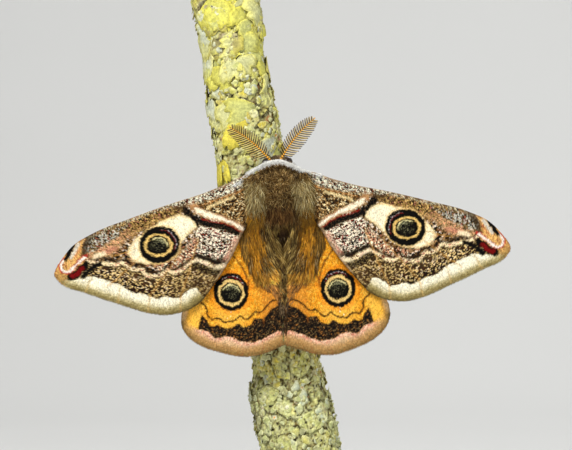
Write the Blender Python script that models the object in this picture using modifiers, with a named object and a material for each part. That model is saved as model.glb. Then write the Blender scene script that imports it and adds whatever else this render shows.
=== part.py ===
"""A male emperor moth at rest on a cut length of lichened branch, over a flat display base.

The moth clings head up with its back towards -Y. All sizes are in millimetres and
MM turns them into Blender's metres. X runs to the moth's right, Z up, and the origin
is the middle of the base's underside. The moth is shaped in its own frame, whose
axes are u to its right, y in depth and w towards its head, and hangs on one empty.
"""

import math
import random

import bmesh
import bpy
import numpy as np
from mathutils import Matrix, Vector

MM = 0.001
GAP = 0.3
SIDES = {"left": -1.0, "right": 1.0}

# The stand and the branch
BASE_WIDTH = 46.0
BASE_DEPTH = 34.0
BASE_HEIGHT = 4.0
BASE_BEVEL = 0.8
ROD_RADIUS = 1.4
BRANCH_FOOT = 10.5
BRANCH_TOP = 75.5
BRANCH_FOOT_X = 0.3
BRANCH_LEAN = -0.173
BRANCH_RINGS = 24
BRANCH_SIDES = 20
BRANCH_RADII = [
    (10.5, 5.6), (15.5, 5.6), (19.0, 5.45), (23.0, 4.95), (30.0, 4.7),
    (46.0, 4.7), (58.0, 4.7), (66.0, 4.65), (72.0, 5.0), (75.5, 5.0),
]
KNOT_HEIGHT = 0.16

# Where the moth sits, and the small turn of its body about the line of sight
MOTH_X = -2.73
MOTH_Z = 46.36
MOTH_TILT = math.radians(-2.83)

# The body
THORAX_MIDDLE = (0.0, -9.6, -0.2)
THORAX_HALVES = (3.7, 3.1, 4.2)
HEAD_MIDDLE = (-0.1, -8.45, 4.75)
HEAD_HALVES = (1.7, 1.55, 1.35)
EYE_RADIUS = 0.8
EYE_OUT = 1.3
EYE_DEPTH = -8.35
EYE_UP = 5.1
ABDOMEN_START = -3.4
ABDOMEN_END = -14.2
ABDOMEN_DEPTH = (-8.35, -7.75)
ABDOMEN_HALVES = (2.5, 1.85)
ABDOMEN_SEGMENTS = 7

# The wings: borders in (u, w), each a smooth curve, and their lie in depth
WING_THICK = 0.5
VEIN_THICK = 0.8
VEIN_REACH = 0.028
FORE_ROOT = [(1.7, 3.4), (2.3, 1.2), (2.5, -1.2)]
FORE_COSTA = [
    (1.7, 3.4), (4.0, 3.7), (7.0, 2.65), (10.0, 1.7), (15.0, 0.5), (20.0, -0.9),
    (25.0, -2.45), (28.0, -4.0), (29.7, -5.8), (30.7, -7.3),
]
FORE_TERMEN = [
    (30.7, -7.3), (31.0, -8.3), (30.3, -9.4), (27.0, -10.95), (22.5, -12.75),
    (18.5, -14.2), (16.3, -14.55), (14.3, -14.3), (12.6, -13.7), (11.2, -12.75),
]
FORE_INNER = [(2.5, -1.2), (4.1, -2.0), (5.3, -3.9), (6.9, -7.0), (9.2, -10.3), (11.2, -12.75)]
FORE_DEPTH = -11.6
FORE_DROOP = 0.11
FORE_PITCH = 0.03
FORE_CAMBER = 0.55
FORE_TURN = {"left": math.radians(-1.2), "right": 0.0}
FORE_STRETCH = {"left": 1.01, "right": 1.0}
FORE_VEINS = [
    (0.0, 0.0), (0.07, 0.0), (0.16, 0.40), (0.28, 0.46), (0.47, 0.0), (0.66, 0.0), (0.855, 0.0),
]
HIND_ROOT = [(2.6, -0.4), (2.3, -1.4), (1.9, -2.6)]
HIND_COSTA = [(2.6, -0.4), (6.5, -3.0), (9.8, -6.2), (12.2, -9.8), (13.5, -12.9), (14.05, -15.0)]
HIND_TERMEN = [
    (14.05, -15.0), (14.1, -16.6), (13.3, -18.2), (11.6, -19.6), (9.0, -20.65),
    (6.0, -21.3), (3.6, -21.0), (1.6, -20.2), (0.2, -19.5),
]
HIND_INNER = [(1.9, -2.6), (0.9, -5.6), (0.35, -9.0), (0.2, -13.0), (0.2, -19.5)]
HIND_DEPTH = -11.0
HIND_DROOP = 0.17
HIND_CAMBER = 0.25
HIND_LIFT = {"left": 0.4, "right": 0.0}
HIND_VEINS = [(0.0, 0.0), (0.15, 0.0), (0.30, 0.35), (0.44, 0.35), (0.58, 0.0), (0.72, 0.0), (0.87, 0.0)]
RIM_DROP = 0.45
WING_ROWS = 13

# The feathered feelers
FEELER_ROOT = (0.95, -10.15, 5.75)
FEELER_TIPS = {"left": (-5.75, -11.4, 10.0), "right": (5.3, -11.4, 10.8)}
FEELER_RADIUS = 0.3
FEELER_TIP_RADIUS = 0.16
FEELER_RAYS = 9
RAY_LENGTH = 1.95
RAY_RADIUS = 0.25
RAY_LEAN = math.radians(55.0)
RAY_FOLD = math.radians(22.0)
RAY_SIDES = 4

# Coat locks
LOCK_WIDTH = 1.5
LOCK_THICK = 0.55
LOCK_TIP = 0.2
WING_CLEAR = 0.95

# The legs: each pair's root (u, w) and knee, where its feet start and end up the branch,
# and how far round the branch from its front each foot sits, in degrees
LEG_POINTS = 13
THIGH_RADIUS = 0.5
FOOT_RADIUS = 0.26
LEGS = {
    "front": {"root": (1.1, 2.1), "knee": (3.4, -6.9, 3.0), "feet": (0.4, 2.7)},
    "middle": {"root": (1.5, -0.2), "knee": (3.7, -6.4, 0.4), "feet": (-2.4, -3.9)},
    "hind": {"root": (1.3, -2.4), "knee": (3.7, -6.3, -3.6), "feet": (-6.2, -8.6)},
}
FOOT_TURNS = {
    "left": {"front": -26.0, "middle": -58.0, "hind": -38.0},
    "right": {"front": 48.0, "middle": 74.0, "hind": 60.0},
}
LEG_SPREAD = {"left": 1.3, "right": 0.2}


def clear_scene():
    """Removes what the scene starts with."""
    for thing in list(bpy.data.objects):
        bpy.data.objects.remove(thing)


def collection(name):
    """A new collection in the scene."""
    made = bpy.data.collections.new(name)
    bpy.context.scene.collection.children.link(made)
    return made


def material(name, colour, roughness, metallic=0.0):
    """A Principled material of one colour."""
    made = bpy.data.materials.new(name)
    made.use_nodes = True
    shader = made.node_tree.nodes["Principled BSDF"]
    shader.inputs["Base Color"].default_value = (*colour, 1.0)
    shader.inputs["Roughness"].default_value = roughness
    shader.inputs["Metallic"].default_value = metallic
    made.diffuse_color = (*colour, 1.0)
    return made


def through(points, shares):
    """Points on a smooth curve through the given ones, at shares of its chord length."""
    points = np.asarray(points, float)
    steps = np.linalg.norm(np.diff(points, axis=0), axis=1)
    chord = np.concatenate([[0.0], np.cumsum(steps)]) / steps.sum()
    slopes = np.gradient(points, chord, axis=0)
    shares = np.atleast_1d(np.asarray(shares, float))
    at = np.clip(np.searchsorted(chord, shares, side="right") - 1, 0, len(points) - 2)
    span = (chord[at + 1] - chord[at])[:, None]
    t = (shares - chord[at])[:, None] / span
    return (
        (2 * t**3 - 3 * t**2 + 1) * points[at]
        + (t**3 - 2 * t**2 + t) * span * slopes[at]
        + (3 * t**2 - 2 * t**3) * points[at + 1]
        + (t**3 - t**2) * span * slopes[at + 1]
    )


def add_mesh(name, bm, home, parent=None, finish=None):
    """Makes an object from a bmesh that is in millimetres."""
    bmesh.ops.transform(bm, matrix=Matrix.Scale(MM, 4), verts=bm.verts)
    mesh = bpy.data.meshes.new(name)
    bm.to_mesh(mesh)
    bm.free()
    thing = bpy.data.objects.new(name, mesh)
    home.objects.link(thing)
    if parent:
        thing.parent = parent
    if finish:
        mesh.materials.append(finish)
    return thing


def loft(rings):
    """A closed bmesh through rings of equal count, with a face over each end."""
    bm = bmesh.new()
    made = [[bm.verts.new(point) for point in ring] for ring in rings]
    count = len(made[0])
    for low, high in zip(made, made[1:]):
        for i in range(count):
            j = (i + 1) % count
            bm.faces.new((low[i], low[j], high[j], high[i]))
    bm.faces.new(list(reversed(made[0])))
    bm.faces.new(made[-1])
    bmesh.ops.recalc_face_normals(bm, faces=bm.faces)
    bmesh.ops.triangulate(bm, faces=bm.faces)
    return bm


def ball(middle, halves, segments=20, rings=12):
    """An ellipsoid bmesh with its poles on the w axis."""
    bm = bmesh.new()
    bmesh.ops.create_uvsphere(bm, u_segments=segments, v_segments=rings, radius=1.0)
    bmesh.ops.scale(bm, vec=Vector(halves), verts=bm.verts)
    bmesh.ops.translate(bm, vec=Vector(middle), verts=bm.verts)
    bmesh.ops.triangulate(bm, faces=bm.faces)
    return bm


def grown(halves, by=GAP):
    """The half sizes of an ellipsoid, each longer by the gap."""
    return tuple(half + by for half in halves)


def cutter(name, bm, home, parent):
    """A helper that cuts its neighbours and isn't part of the model."""
    made = add_mesh(name, bm, home, parent)
    made.hide_render = True
    made.display_type = "WIRE"
    return made


def boolean(thing, operation, other):
    """Adds a Boolean modifier whose operand is an object or a collection.

    Locks that cross at shallow angles join soundly only with the manifold solver.
    """
    modifier = thing.modifiers.new(operation.lower(), "BOOLEAN")
    modifier.operation = operation
    modifier.solver = "EXACT"
    if isinstance(other, bpy.types.Collection):
        modifier.solver = "MANIFOLD"
        modifier.operand_type = "COLLECTION"
        modifier.collection = other
    else:
        modifier.object = other


def apply_modifiers(thing):
    """Replaces an object's mesh by the one its modifiers give."""
    bpy.context.view_layer.update()
    graph = bpy.context.evaluated_depsgraph_get()
    made = bpy.data.meshes.new_from_object(thing.evaluated_get(graph))
    old = thing.data
    thing.modifiers.clear()
    thing.data = made
    bpy.data.meshes.remove(old)


def islands(bm):
    """The connected surfaces of a bmesh, as lists of faces."""
    left = set(bm.faces)
    found = []
    while left:
        edge = [left.pop()]
        island = list(edge)
        while edge:
            face = edge.pop()
            near = {other for line in face.edges for other in line.link_faces}
            fresh = near & left
            left -= fresh
            edge.extend(fresh)
            island.extend(fresh)
        found.append(island)
    return found


def keep_largest(thing):
    """Drops every surface of a mesh but the one with the most faces."""
    bm = bmesh.new()
    bm.from_mesh(thing.data)
    scraps = sorted(islands(bm), key=len)[:-1]
    for island in scraps:
        bmesh.ops.delete(bm, geom=island, context="FACES")
    bm.to_mesh(thing.data)
    bm.free()


def fuse(thing, pieces):
    """Joins a collection of closed pieces to an object and removes the pieces."""
    boolean(thing, "UNION", pieces)
    apply_modifiers(thing)
    for piece in list(pieces.objects):
        bpy.data.objects.remove(piece)
    bpy.data.collections.remove(pieces)
    keep_largest(thing)


def carve(thing, *cutters):
    """Cuts an object by each helper in turn."""
    for other in cutters:
        boolean(thing, "DIFFERENCE", other)
    apply_modifiers(thing)
    keep_largest(thing)


def shade(thing, angle=35.0):
    """Smooth shading with edges over the angle left sharp."""
    thing.data.shade_smooth()
    thing.data.set_sharp_from_angle(angle=math.radians(angle))


def branch_middle(z):
    """X of the branch's axis at a height."""
    return BRANCH_FOOT_X + BRANCH_LEAN * (z - BRANCH_FOOT)


def branch_radius(z, turn=0.0):
    """The branch's radius at a height and at an angle round it from the front."""
    heights, radii = zip(*BRANCH_RADII)
    knots = math.sin(3 * turn + 0.31 * z) + math.sin(2 * turn - 0.47 * z + 1.0)
    return float(np.interp(z, heights, radii)) + KNOT_HEIGHT * knots


def branch_point(z, turn, out=0.0):
    """A point on the branch, or off it by a distance, in the base's frame."""
    radius = branch_radius(z, turn) + out
    return Vector((branch_middle(z) + radius * math.sin(turn), -radius * math.cos(turn), z))


def fore_depth(u, w):
    """Depth of a forewing's middle surface before its camber."""
    return FORE_DEPTH + FORE_DROOP * (abs(u) - 4.0) - FORE_PITCH * w


def hind_depth(u, _w):
    """Depth of a hindwing's middle surface before its camber."""
    return HIND_DEPTH + HIND_DROOP * abs(u)


def make_base(home, finish):
    """The flat base, as a bevelled block."""
    bpy.ops.mesh.primitive_cube_add(size=1.0, location=(0, 0, BASE_HEIGHT * MM / 2))
    base = bpy.context.object
    base.name = "stand_base"
    base.scale = (BASE_WIDTH * MM, BASE_DEPTH * MM, BASE_HEIGHT * MM)
    bpy.ops.object.transform_apply(location=False, rotation=False, scale=True)
    bevel = base.modifiers.new("edges", "BEVEL")
    bevel.width = BASE_BEVEL * MM
    bevel.segments = 2
    base.data.materials.append(finish)
    move_to(base, home)


def make_rod(home, finish):
    """The short rod between the base and the branch's foot."""
    low = BASE_HEIGHT + GAP
    high = BRANCH_FOOT - GAP
    bpy.ops.mesh.primitive_cylinder_add(
        vertices=24,
        radius=ROD_RADIUS * MM,
        depth=(high - low) * MM,
        location=(BRANCH_FOOT_X * MM, 0, (low + high) / 2 * MM),
    )
    rod = bpy.context.object
    rod.name = "stand_rod"
    rod.data.materials.append(finish)
    shade(rod)
    move_to(rod, home)


def move_to(thing, home):
    """Moves an object from the scene's own collection to the model's."""
    for old in list(thing.users_collection):
        old.objects.unlink(thing)
    home.objects.link(thing)


def make_branch(home, finish):
    """The cut length of branch, lofted through level rings."""
    heights = np.linspace(BRANCH_FOOT, BRANCH_TOP, BRANCH_RINGS)
    turns = np.linspace(0, 2 * math.pi, BRANCH_SIDES, endpoint=False)
    rings = [[branch_point(z, turn) for turn in turns] for z in heights]
    shade(add_mesh("perch_branch", loft(rings), home, finish=finish))


def lock(root, lie, out, length, width=LOCK_WIDTH, rise=0.55, sink=1.3, bend=None):
    """One flat tapered lock: it leaves the skin at its root and lies back along it.

    The lock starts below the skin by sink, stands off it by rise, and bend moves
    each of its points clear of a neighbour.
    """
    lie = Vector(lie)
    out = Vector(out).normalized()
    lie = (lie - out * lie.dot(out)).normalized()
    side = lie.cross(out).normalized()
    rings = []
    for share, off, broad, thick in (
        (0.0, -sink, 0.75, 1.0),
        (0.3, 0.35 * rise, 1.0, 1.0),
        (0.68, 0.85 * rise, 0.8, 0.9),
        (1.0, 1.2 * rise, 0.0, 0.0),
    ):
        middle = Vector(root) + lie * (length * share) + out * off
        if bend:
            middle = bend(middle, width / 2 * broad)
        half = side * max(width * broad, LOCK_TIP) / 2
        deep = out * max(LOCK_THICK * thick, LOCK_TIP) / 2
        rings.append([middle - half, middle - deep, middle + half, middle + deep])
    return loft(rings)


def over_wings(lift):
    """A rule that keeps a lock of the thorax in front of all four wings, lifted a little."""

    def bend(middle, _half):
        fore = fore_depth(middle.x, middle.z) - WING_CLEAR - lift
        hind = hind_depth(middle.x, middle.z) - WING_CLEAR - lift
        for limit, share in ((fore, (abs(middle.x) - 1.8) / 0.8), (hind, -1.2 - middle.z)):
            middle.y += min(1.0, max(0.0, share)) * min(0.0, limit - middle.y)
        return middle

    return bend


def thorax_skin(turn, w):
    """A point of the thorax's core and its outward normal, by the turn from its back."""
    half_u, half_y, half_w = THORAX_HALVES
    up = (w - THORAX_MIDDLE[2]) / half_w
    around = math.sqrt(max(0.0, 1 - up * up))
    out = Vector((
        around * math.sin(turn) / half_u, -around * math.cos(turn) / half_y, up / half_w,
    ))
    point = Vector(THORAX_MIDDLE) + Vector((
        half_u * around * math.sin(turn), -half_y * around * math.cos(turn), half_w * up,
    ))
    return point, out.normalized()


def make_thorax(home, parent, finish):
    """The thorax: a core with rows of locks down its back and a ruff at its front."""
    thorax = add_mesh("thorax", ball(THORAX_MIDDLE, THORAX_HALVES, 20, 12), home, parent, finish)
    pieces = collection("thorax_locks")
    chance = random.Random(42)

    def add(turn, w, lie, length, rise):
        turn += chance.uniform(-0.05, 0.05)
        w += chance.uniform(-0.15, 0.15)
        root, out = thorax_skin(turn, w)
        bend = over_wings(0.17 * (len(pieces.objects) % 4))
        made = lock(root, lie, out, length, rise=rise, bend=bend)
        add_mesh(f"lock_{len(pieces.objects)}", made, pieces, parent)

    for row, w in enumerate((1.9, 0.6, -0.7, -2.0, -3.2)):
        count = 5 + row % 2
        for i in range(count):
            turn = math.radians(88.0) * (i / (count - 1) - 0.5)
            lie = (0.95 * math.sin(turn), 0.0, -1.0)
            add(turn, w, lie, chance.uniform(2.5, 3.1), 0.75 + 0.25 * (i % 2))
    for i in range(9):
        turn = math.radians(136.0) * (i / 8 - 0.5)
        lie = (1.5 * math.sin(turn), -0.1, 1.15 - 0.55 * abs(turn))
        add(turn, 2.95 - 0.55 * turn**2, lie, 2.6, 0.5 + 0.2 * (i % 2))
    fuse(thorax, pieces)
    shade(thorax, 50.0)


def make_abdomen(home, parent, finish, thorax_cutter):
    """The abdomen: rings that swell a little at each segment, tapering to the tail."""
    rings = []
    for share in np.linspace(0.0, 1.0, 2 * ABDOMEN_SEGMENTS + 3):
        taper = math.sqrt(max(0.03, 1 - max(0.0, (share - 0.35) / 0.65) ** 2.2))
        swell = 1 + 0.03 * math.cos(share * 2 * math.pi * ABDOMEN_SEGMENTS)
        w = ABDOMEN_START + (ABDOMEN_END - ABDOMEN_START) * share
        y = ABDOMEN_DEPTH[0] + (ABDOMEN_DEPTH[1] - ABDOMEN_DEPTH[0]) * share
        half_u, half_y = (half * taper * swell for half in ABDOMEN_HALVES)
        rings.append([
            (half_u * math.sin(turn), y - half_y * math.cos(turn), w)
            for turn in np.linspace(0, 2 * math.pi, 16, endpoint=False)
        ])
    abdomen = add_mesh("abdomen", loft(rings), home, parent, finish)
    carve(abdomen, thorax_cutter)
    shade(abdomen, 50.0)


def make_head(home, parent, finish, eye_finish, helpers, thorax_cutter):
    """The small head tucked under the ruff, with its brow tuft, palps and eyes."""
    head = add_mesh("head", ball(HEAD_MIDDLE, HEAD_HALVES, 14, 8), home, parent, finish)
    pieces = collection("head_locks")
    for i in range(5):
        across = (i - 2) * 0.42
        root = (HEAD_MIDDLE[0] + across, HEAD_MIDDLE[1] - 0.75, HEAD_MIDDLE[2] + 1.0)
        made = lock(root, (0.2 * across, 0.75, 0.6), (0, -0.55, 0.8), 1.5, 0.8, 0.3, 0.5)
        add_mesh(f"brow_{i}", made, pieces, parent)
    for name, side in SIDES.items():
        root = (HEAD_MIDDLE[0] + side * 0.55, HEAD_MIDDLE[1] + 1.0, HEAD_MIDDLE[2] + 0.2)
        made = lock(root, (0.15 * side, 0.45, 0.9), (0, 0.9, -0.45), 1.7, 0.7, 0.3, 0.5)
        add_mesh(f"palp_{name}", made, pieces, parent)
    fuse(head, pieces)
    cutters = [thorax_cutter]
    for name, side in SIDES.items():
        place = (HEAD_MIDDLE[0] + side * EYE_OUT, EYE_DEPTH, EYE_UP)
        eye = ball(place, (EYE_RADIUS,) * 3, 12, 8)
        shade(add_mesh(f"eye_{name}", eye, home, parent, eye_finish))
        socket = ball(place, grown((EYE_RADIUS,) * 3), 12, 8)
        cutters.append(cutter(f"cut_eye_{name}", socket, helpers, parent))
    carve(head, *cutters)
    shade(head, 50.0)


def wing_points(borders, shares, columns):
    """A Coons patch: (u, w) at shares from root to rim and columns from front to back edge."""
    root, front, rim, back = (np.asarray(border, float) for border in borders)
    s = np.asarray(shares)[:, None, None]
    v = np.asarray(columns)[None, :, None]
    fronts, backs = through(front, shares)[:, None], through(back, shares)[:, None]
    roots, rims = through(root, columns)[None], through(rim, columns)[None]
    corners = (
        (1 - s) * (1 - v) * front[0] + s * (1 - v) * front[-1]
        + (1 - s) * v * back[0] + s * v * back[-1]
    )
    return (1 - v) * fronts + v * backs + (1 - s) * roots + s * rims - corners


def vein_columns(veins):
    """Grid columns on each vein and close beside it, with one between, and each one's vein."""
    columns = {}
    for number, (place, _) in enumerate(veins):
        for shift in (-VEIN_REACH, 0.0, VEIN_REACH):
            if 0.0 <= place + shift <= 1.0:
                columns[round(place + shift, 4)] = number if shift == 0.0 else None
    places = [place for place, _ in veins] + [1.0]
    for low, high in zip(places, places[1:]):
        if high - low > 4 * VEIN_REACH:
            columns[round((low + high) / 2, 4)] = None
    columns[1.0] = None
    return sorted(columns.items())


def wing_sheet(name, borders, depth, camber, veins, side, home, parent, finish,
               turn=0.0, stretch=1.0, lift=0.0):
    """A wing as a grid shaped on its borders, thickened most along its veins.

    It may be turned about its hinge, stretched outwards, or lifted along its rim.
    """
    columns = vein_columns(veins)
    shares = np.linspace(0.0, 1.0, WING_ROWS)
    flat = wing_points(borders, shares, [column for column, _ in columns])
    bm = bmesh.new()
    bmesh.ops.create_grid(bm, x_segments=len(columns) - 1, y_segments=WING_ROWS - 1, size=0.5)
    weights = {}
    hinge = Vector((3.0, 2.0))
    for vert in bm.verts:
        i = round((vert.co.x + 0.5) * (len(columns) - 1))
        j = round((vert.co.y + 0.5) * (WING_ROWS - 1))
        column, vein = columns[i]
        u, w = flat[j, i]
        bulge = camber * 4 * column * (1 - column) * math.sin(math.pi * min(shares[j], 0.5))
        y = depth(u, w) - bulge + RIM_DROP * shares[j] ** 8
        u *= stretch
        w += lift * shares[j] ** 4 * math.sin(math.pi * column)
        turned = hinge + Matrix.Rotation(turn, 2) @ (Vector((u, w)) - hinge)
        vert.co = (side * turned.x, y, turned.y)
        if vein is not None and shares[j] >= veins[vein][1]:
            weights[vert.index] = 1.0 - 0.5 * shares[j]
    bmesh.ops.triangulate(bm, faces=bm.faces, quad_method="SHORT_EDGE")
    wing = add_mesh(name, bm, home, parent, finish)
    group = wing.vertex_groups.new(name="veins")
    for index, weight in weights.items():
        group.add([index], weight, "REPLACE")
    solidify = wing.modifiers.new("membrane", "SOLIDIFY")
    solidify.thickness = VEIN_THICK * MM
    solidify.offset = 0.0
    solidify.vertex_group = group.name
    solidify.thickness_vertex_group = WING_THICK / VEIN_THICK
    apply_modifiers(wing)
    return wing


def make_forewings(home, parent, finish, thorax_cutter):
    """Both forewings, the left one held a little lower as it was found."""
    borders = (FORE_ROOT, FORE_COSTA, FORE_TERMEN, FORE_INNER)
    for name, side in SIDES.items():
        wing = wing_sheet(
            f"forewing_{name}", borders, fore_depth, FORE_CAMBER, FORE_VEINS,
            side, home, parent, finish, FORE_TURN[name], FORE_STRETCH[name],
        )
        carve(wing, thorax_cutter)
        shade(wing, 60.0)


def make_hindwings(home, parent, finish, thorax_cutter):
    """Both hindwings, each with the long locks that lie down its inner margin."""
    borders = (HIND_ROOT, HIND_COSTA, HIND_TERMEN, HIND_INNER)
    chance = random.Random(5)
    for name, side in SIDES.items():
        wing = wing_sheet(
            f"hindwing_{name}", borders, hind_depth, HIND_CAMBER, HIND_VEINS,
            side, home, parent, finish, lift=HIND_LIFT[name],
        )
        pieces = collection("hind_locks")

        def clear_of_middle(middle, half, side=side):
            middle.x = side * max(abs(middle.x), half + 0.25)
            return middle

        for row, w in enumerate((-6.7, -8.1, -9.5)):
            for i in range(3):
                u = 1.05 + 1.35 * i - 0.1 * row
                root = (side * u, hind_depth(u, w), w + 0.25 * (i % 2))
                length = chance.uniform(3.0, 3.5)
                made = lock(root, (-0.2 * side, 0, -1), (0, -1, 0), length, 1.35, 0.75, 0.0,
                            clear_of_middle)
                add_mesh(f"lock_{row}_{i}", made, pieces, parent)
        fuse(wing, pieces)
        carve(wing, thorax_cutter)
        shade(wing, 60.0)


def taper_tube(points, radii, sides):
    """A closed tube along points, each with its radius."""
    rings = []
    points = [Vector(point) for point in points]
    across = Vector((0.0, 1.0, 0.0))
    for i, (point, radius) in enumerate(zip(points, radii)):
        ahead = (points[min(i + 1, len(points) - 1)] - points[max(i - 1, 0)]).normalized()
        across = (across - ahead * across.dot(ahead)).normalized()
        up = ahead.cross(across)
        rings.append([
            point + (math.cos(turn) * across + math.sin(turn) * up) * float(radius)
            for turn in np.linspace(0, 2 * math.pi, sides, endpoint=False)
        ])
    return loft(rings)


def make_feelers(home, parent, finish):
    """Both feelers: a tapering shaft with two rows of rays that lean to its tip."""
    for name, side in SIDES.items():
        root = Vector((HEAD_MIDDLE[0] + side * FEELER_ROOT[0], *FEELER_ROOT[1:]))
        tip = Vector(FEELER_TIPS[name])
        along = (tip - root).normalized()
        toward = Vector((0.0, -1.0, 0.0))
        toward = (toward - along * toward.dot(along)).normalized()
        broad = along.cross(toward) * side
        shares = np.linspace(0.0, 1.0, 7)
        bow = [root + (tip - root) * s - broad * 0.35 * math.sin(math.pi * s) for s in shares]
        radii = [FEELER_RADIUS + (FEELER_TIP_RADIUS - FEELER_RADIUS) * s for s in shares]
        feeler = add_mesh(f"antenna_{name}", taper_tube(bow, radii, 6), home, parent, finish)
        pieces = collection("rays")
        for i in range(FEELER_RAYS):
            share = 0.09 + 0.86 * i / (FEELER_RAYS - 1)
            start = Vector(through([tuple(point) for point in bow], share)[0])
            length = RAY_LENGTH * math.sin(math.pi * (0.22 + 0.62 * share)) ** 0.8
            for row in (-1.0, 1.0):
                out = broad * row * math.cos(RAY_FOLD) + toward * math.sin(RAY_FOLD)
                reach = length * (1.0 if row < 0 else 0.85)
                end = start + reach * (out * math.sin(RAY_LEAN) + along * math.cos(RAY_LEAN))
                middle = (start + end) / 2 + out * 0.08
                ray = taper_tube(
                    [start, middle, end], [RAY_RADIUS, 0.85 * RAY_RADIUS, 0.1], RAY_SIDES
                )
                add_mesh(f"ray_{i}_{row:.0f}", ray, pieces, parent)
        fuse(feeler, pieces)
        shade(feeler, 40.0)


def make_legs(home, parent, finish):
    """Six legs, each a bent tapering tube from the breast to a foot laid on the branch."""
    to_moth = parent.matrix_world.inverted()
    for pair, leg in LEGS.items():
        for name, side in SIDES.items():
            u, w = leg["root"]
            half_u, half_y, half_w = THORAX_HALVES
            around = 1 - (u / half_u) ** 2 - ((w - THORAX_MIDDLE[2]) / half_w) ** 2
            belly = THORAX_MIDDLE[1] + half_y * math.sqrt(around)
            hip = Vector((side * u, belly + GAP + 0.12, w))
            knee = Vector(leg["knee"])
            knee.x = side * (knee.x + LEG_SPREAD[name])
            heel, toe = leg["feet"]
            turn = math.radians(FOOT_TURNS[name][pair])
            foot = []
            for share, off in ((0.0, 0.75), (0.35, 0.0), (1.0, 0.0)):
                z = MOTH_Z + heel + (toe - heel) * share
                point = branch_point(z, turn, GAP + FOOT_RADIUS + 0.05 + off)
                foot.append(to_moth @ (point * MM) / MM)
            shin = (knee + foot[0]) / 2 + Vector((side * 0.25, 0, 0))
            path = [hip, (hip + knee) / 2 + Vector((0, 0.3, 0)), knee, shin, *foot]
            shares = np.linspace(0, 1, LEG_POINTS)
            points = through([tuple(point) for point in path], shares)
            radii = THIGH_RADIUS + (FOOT_RADIUS - THIGH_RADIUS) * np.minimum(shares * 1.35, 1.0)
            made = taper_tube(points, radii, 8)
            shade(add_mesh(f"leg_{pair}_{name}", made, home, parent, finish))


def main():
    """Builds the stand, the branch and the moth."""
    clear_scene()
    home = collection("emperor_moth")
    helpers = collection("cutters")
    moth = bpy.data.objects.new("moth", None)
    home.objects.link(moth)
    moth.location = Vector((MOTH_X, 0.0, MOTH_Z)) * MM
    moth.rotation_euler = (0.0, MOTH_TILT, 0.0)
    bpy.context.view_layer.update()

    base_paint = material("base_paint", (0.16, 0.15, 0.14), 0.45)
    rod_steel = material("rod_steel", (0.62, 0.62, 0.60), 0.3, 1.0)
    bark = material("bark", (0.52, 0.50, 0.28), 0.9)
    fur = material("fur", (0.27, 0.19, 0.10), 0.9)
    fore_scales = material("fore_scales", (0.36, 0.30, 0.25), 0.8)
    hind_scales = material("hind_scales", (0.80, 0.46, 0.10), 0.8)
    feeler_horn = material("feeler_horn", (0.42, 0.29, 0.12), 0.6)
    leg_fur = material("leg_fur", (0.33, 0.22, 0.16), 0.85)
    eye_gloss = material("eye_gloss", (0.05, 0.04, 0.03), 0.2)

    make_base(home, base_paint)
    make_rod(home, rod_steel)
    make_branch(home, bark)
    thorax_cutter = cutter(
        "cut_thorax", ball(THORAX_MIDDLE, grown(THORAX_HALVES), 20, 12), helpers, moth
    )
    make_thorax(home, moth, fur)
    make_abdomen(home, moth, fur, thorax_cutter)
    make_head(home, moth, fur, eye_gloss, helpers, thorax_cutter)
    make_forewings(home, moth, fore_scales, thorax_cutter)
    make_hindwings(home, moth, hind_scales, thorax_cutter)
    make_feelers(home, moth, feeler_horn)
    make_legs(home, moth, leg_fur)


main()
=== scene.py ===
"""The looks of a male emperor moth at rest on a lichened branch, over its display stand.

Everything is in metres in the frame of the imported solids. The moth is shaped in
millimetres in its own axes, u to its right, y in depth (towards the branch) and w
towards its head, and POSE.place turns those into the frame.
"""

import logging
import math
from collections.abc import Callable
from dataclasses import dataclass, field
from enum import Enum
from functools import cache

import bpy
import numpy as np
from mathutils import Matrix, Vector


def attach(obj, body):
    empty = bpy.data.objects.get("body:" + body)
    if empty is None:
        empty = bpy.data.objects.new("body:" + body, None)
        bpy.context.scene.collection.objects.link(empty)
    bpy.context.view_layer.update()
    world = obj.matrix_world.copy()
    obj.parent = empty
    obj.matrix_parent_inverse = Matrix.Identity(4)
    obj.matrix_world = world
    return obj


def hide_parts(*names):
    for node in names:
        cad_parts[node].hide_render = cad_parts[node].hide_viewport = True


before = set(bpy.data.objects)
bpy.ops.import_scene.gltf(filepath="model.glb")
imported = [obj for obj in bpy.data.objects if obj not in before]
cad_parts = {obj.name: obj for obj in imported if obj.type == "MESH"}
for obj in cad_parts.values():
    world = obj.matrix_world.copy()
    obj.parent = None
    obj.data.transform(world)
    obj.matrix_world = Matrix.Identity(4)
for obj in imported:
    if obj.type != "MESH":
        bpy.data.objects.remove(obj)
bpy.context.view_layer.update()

log = logging.getLogger("emperor_moth")
MM = 0.001
PATTERN = "pattern"
Array = np.ndarray
Colour = tuple[float, float, float]


class Side(Enum):
    """The moth's own sides, with the sign of u on each."""

    LEFT = -1.0
    RIGHT = 1.0

    @property
    def word(self) -> str:
        """The side's name as pieces carry it."""
        return self.name.lower()


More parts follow.
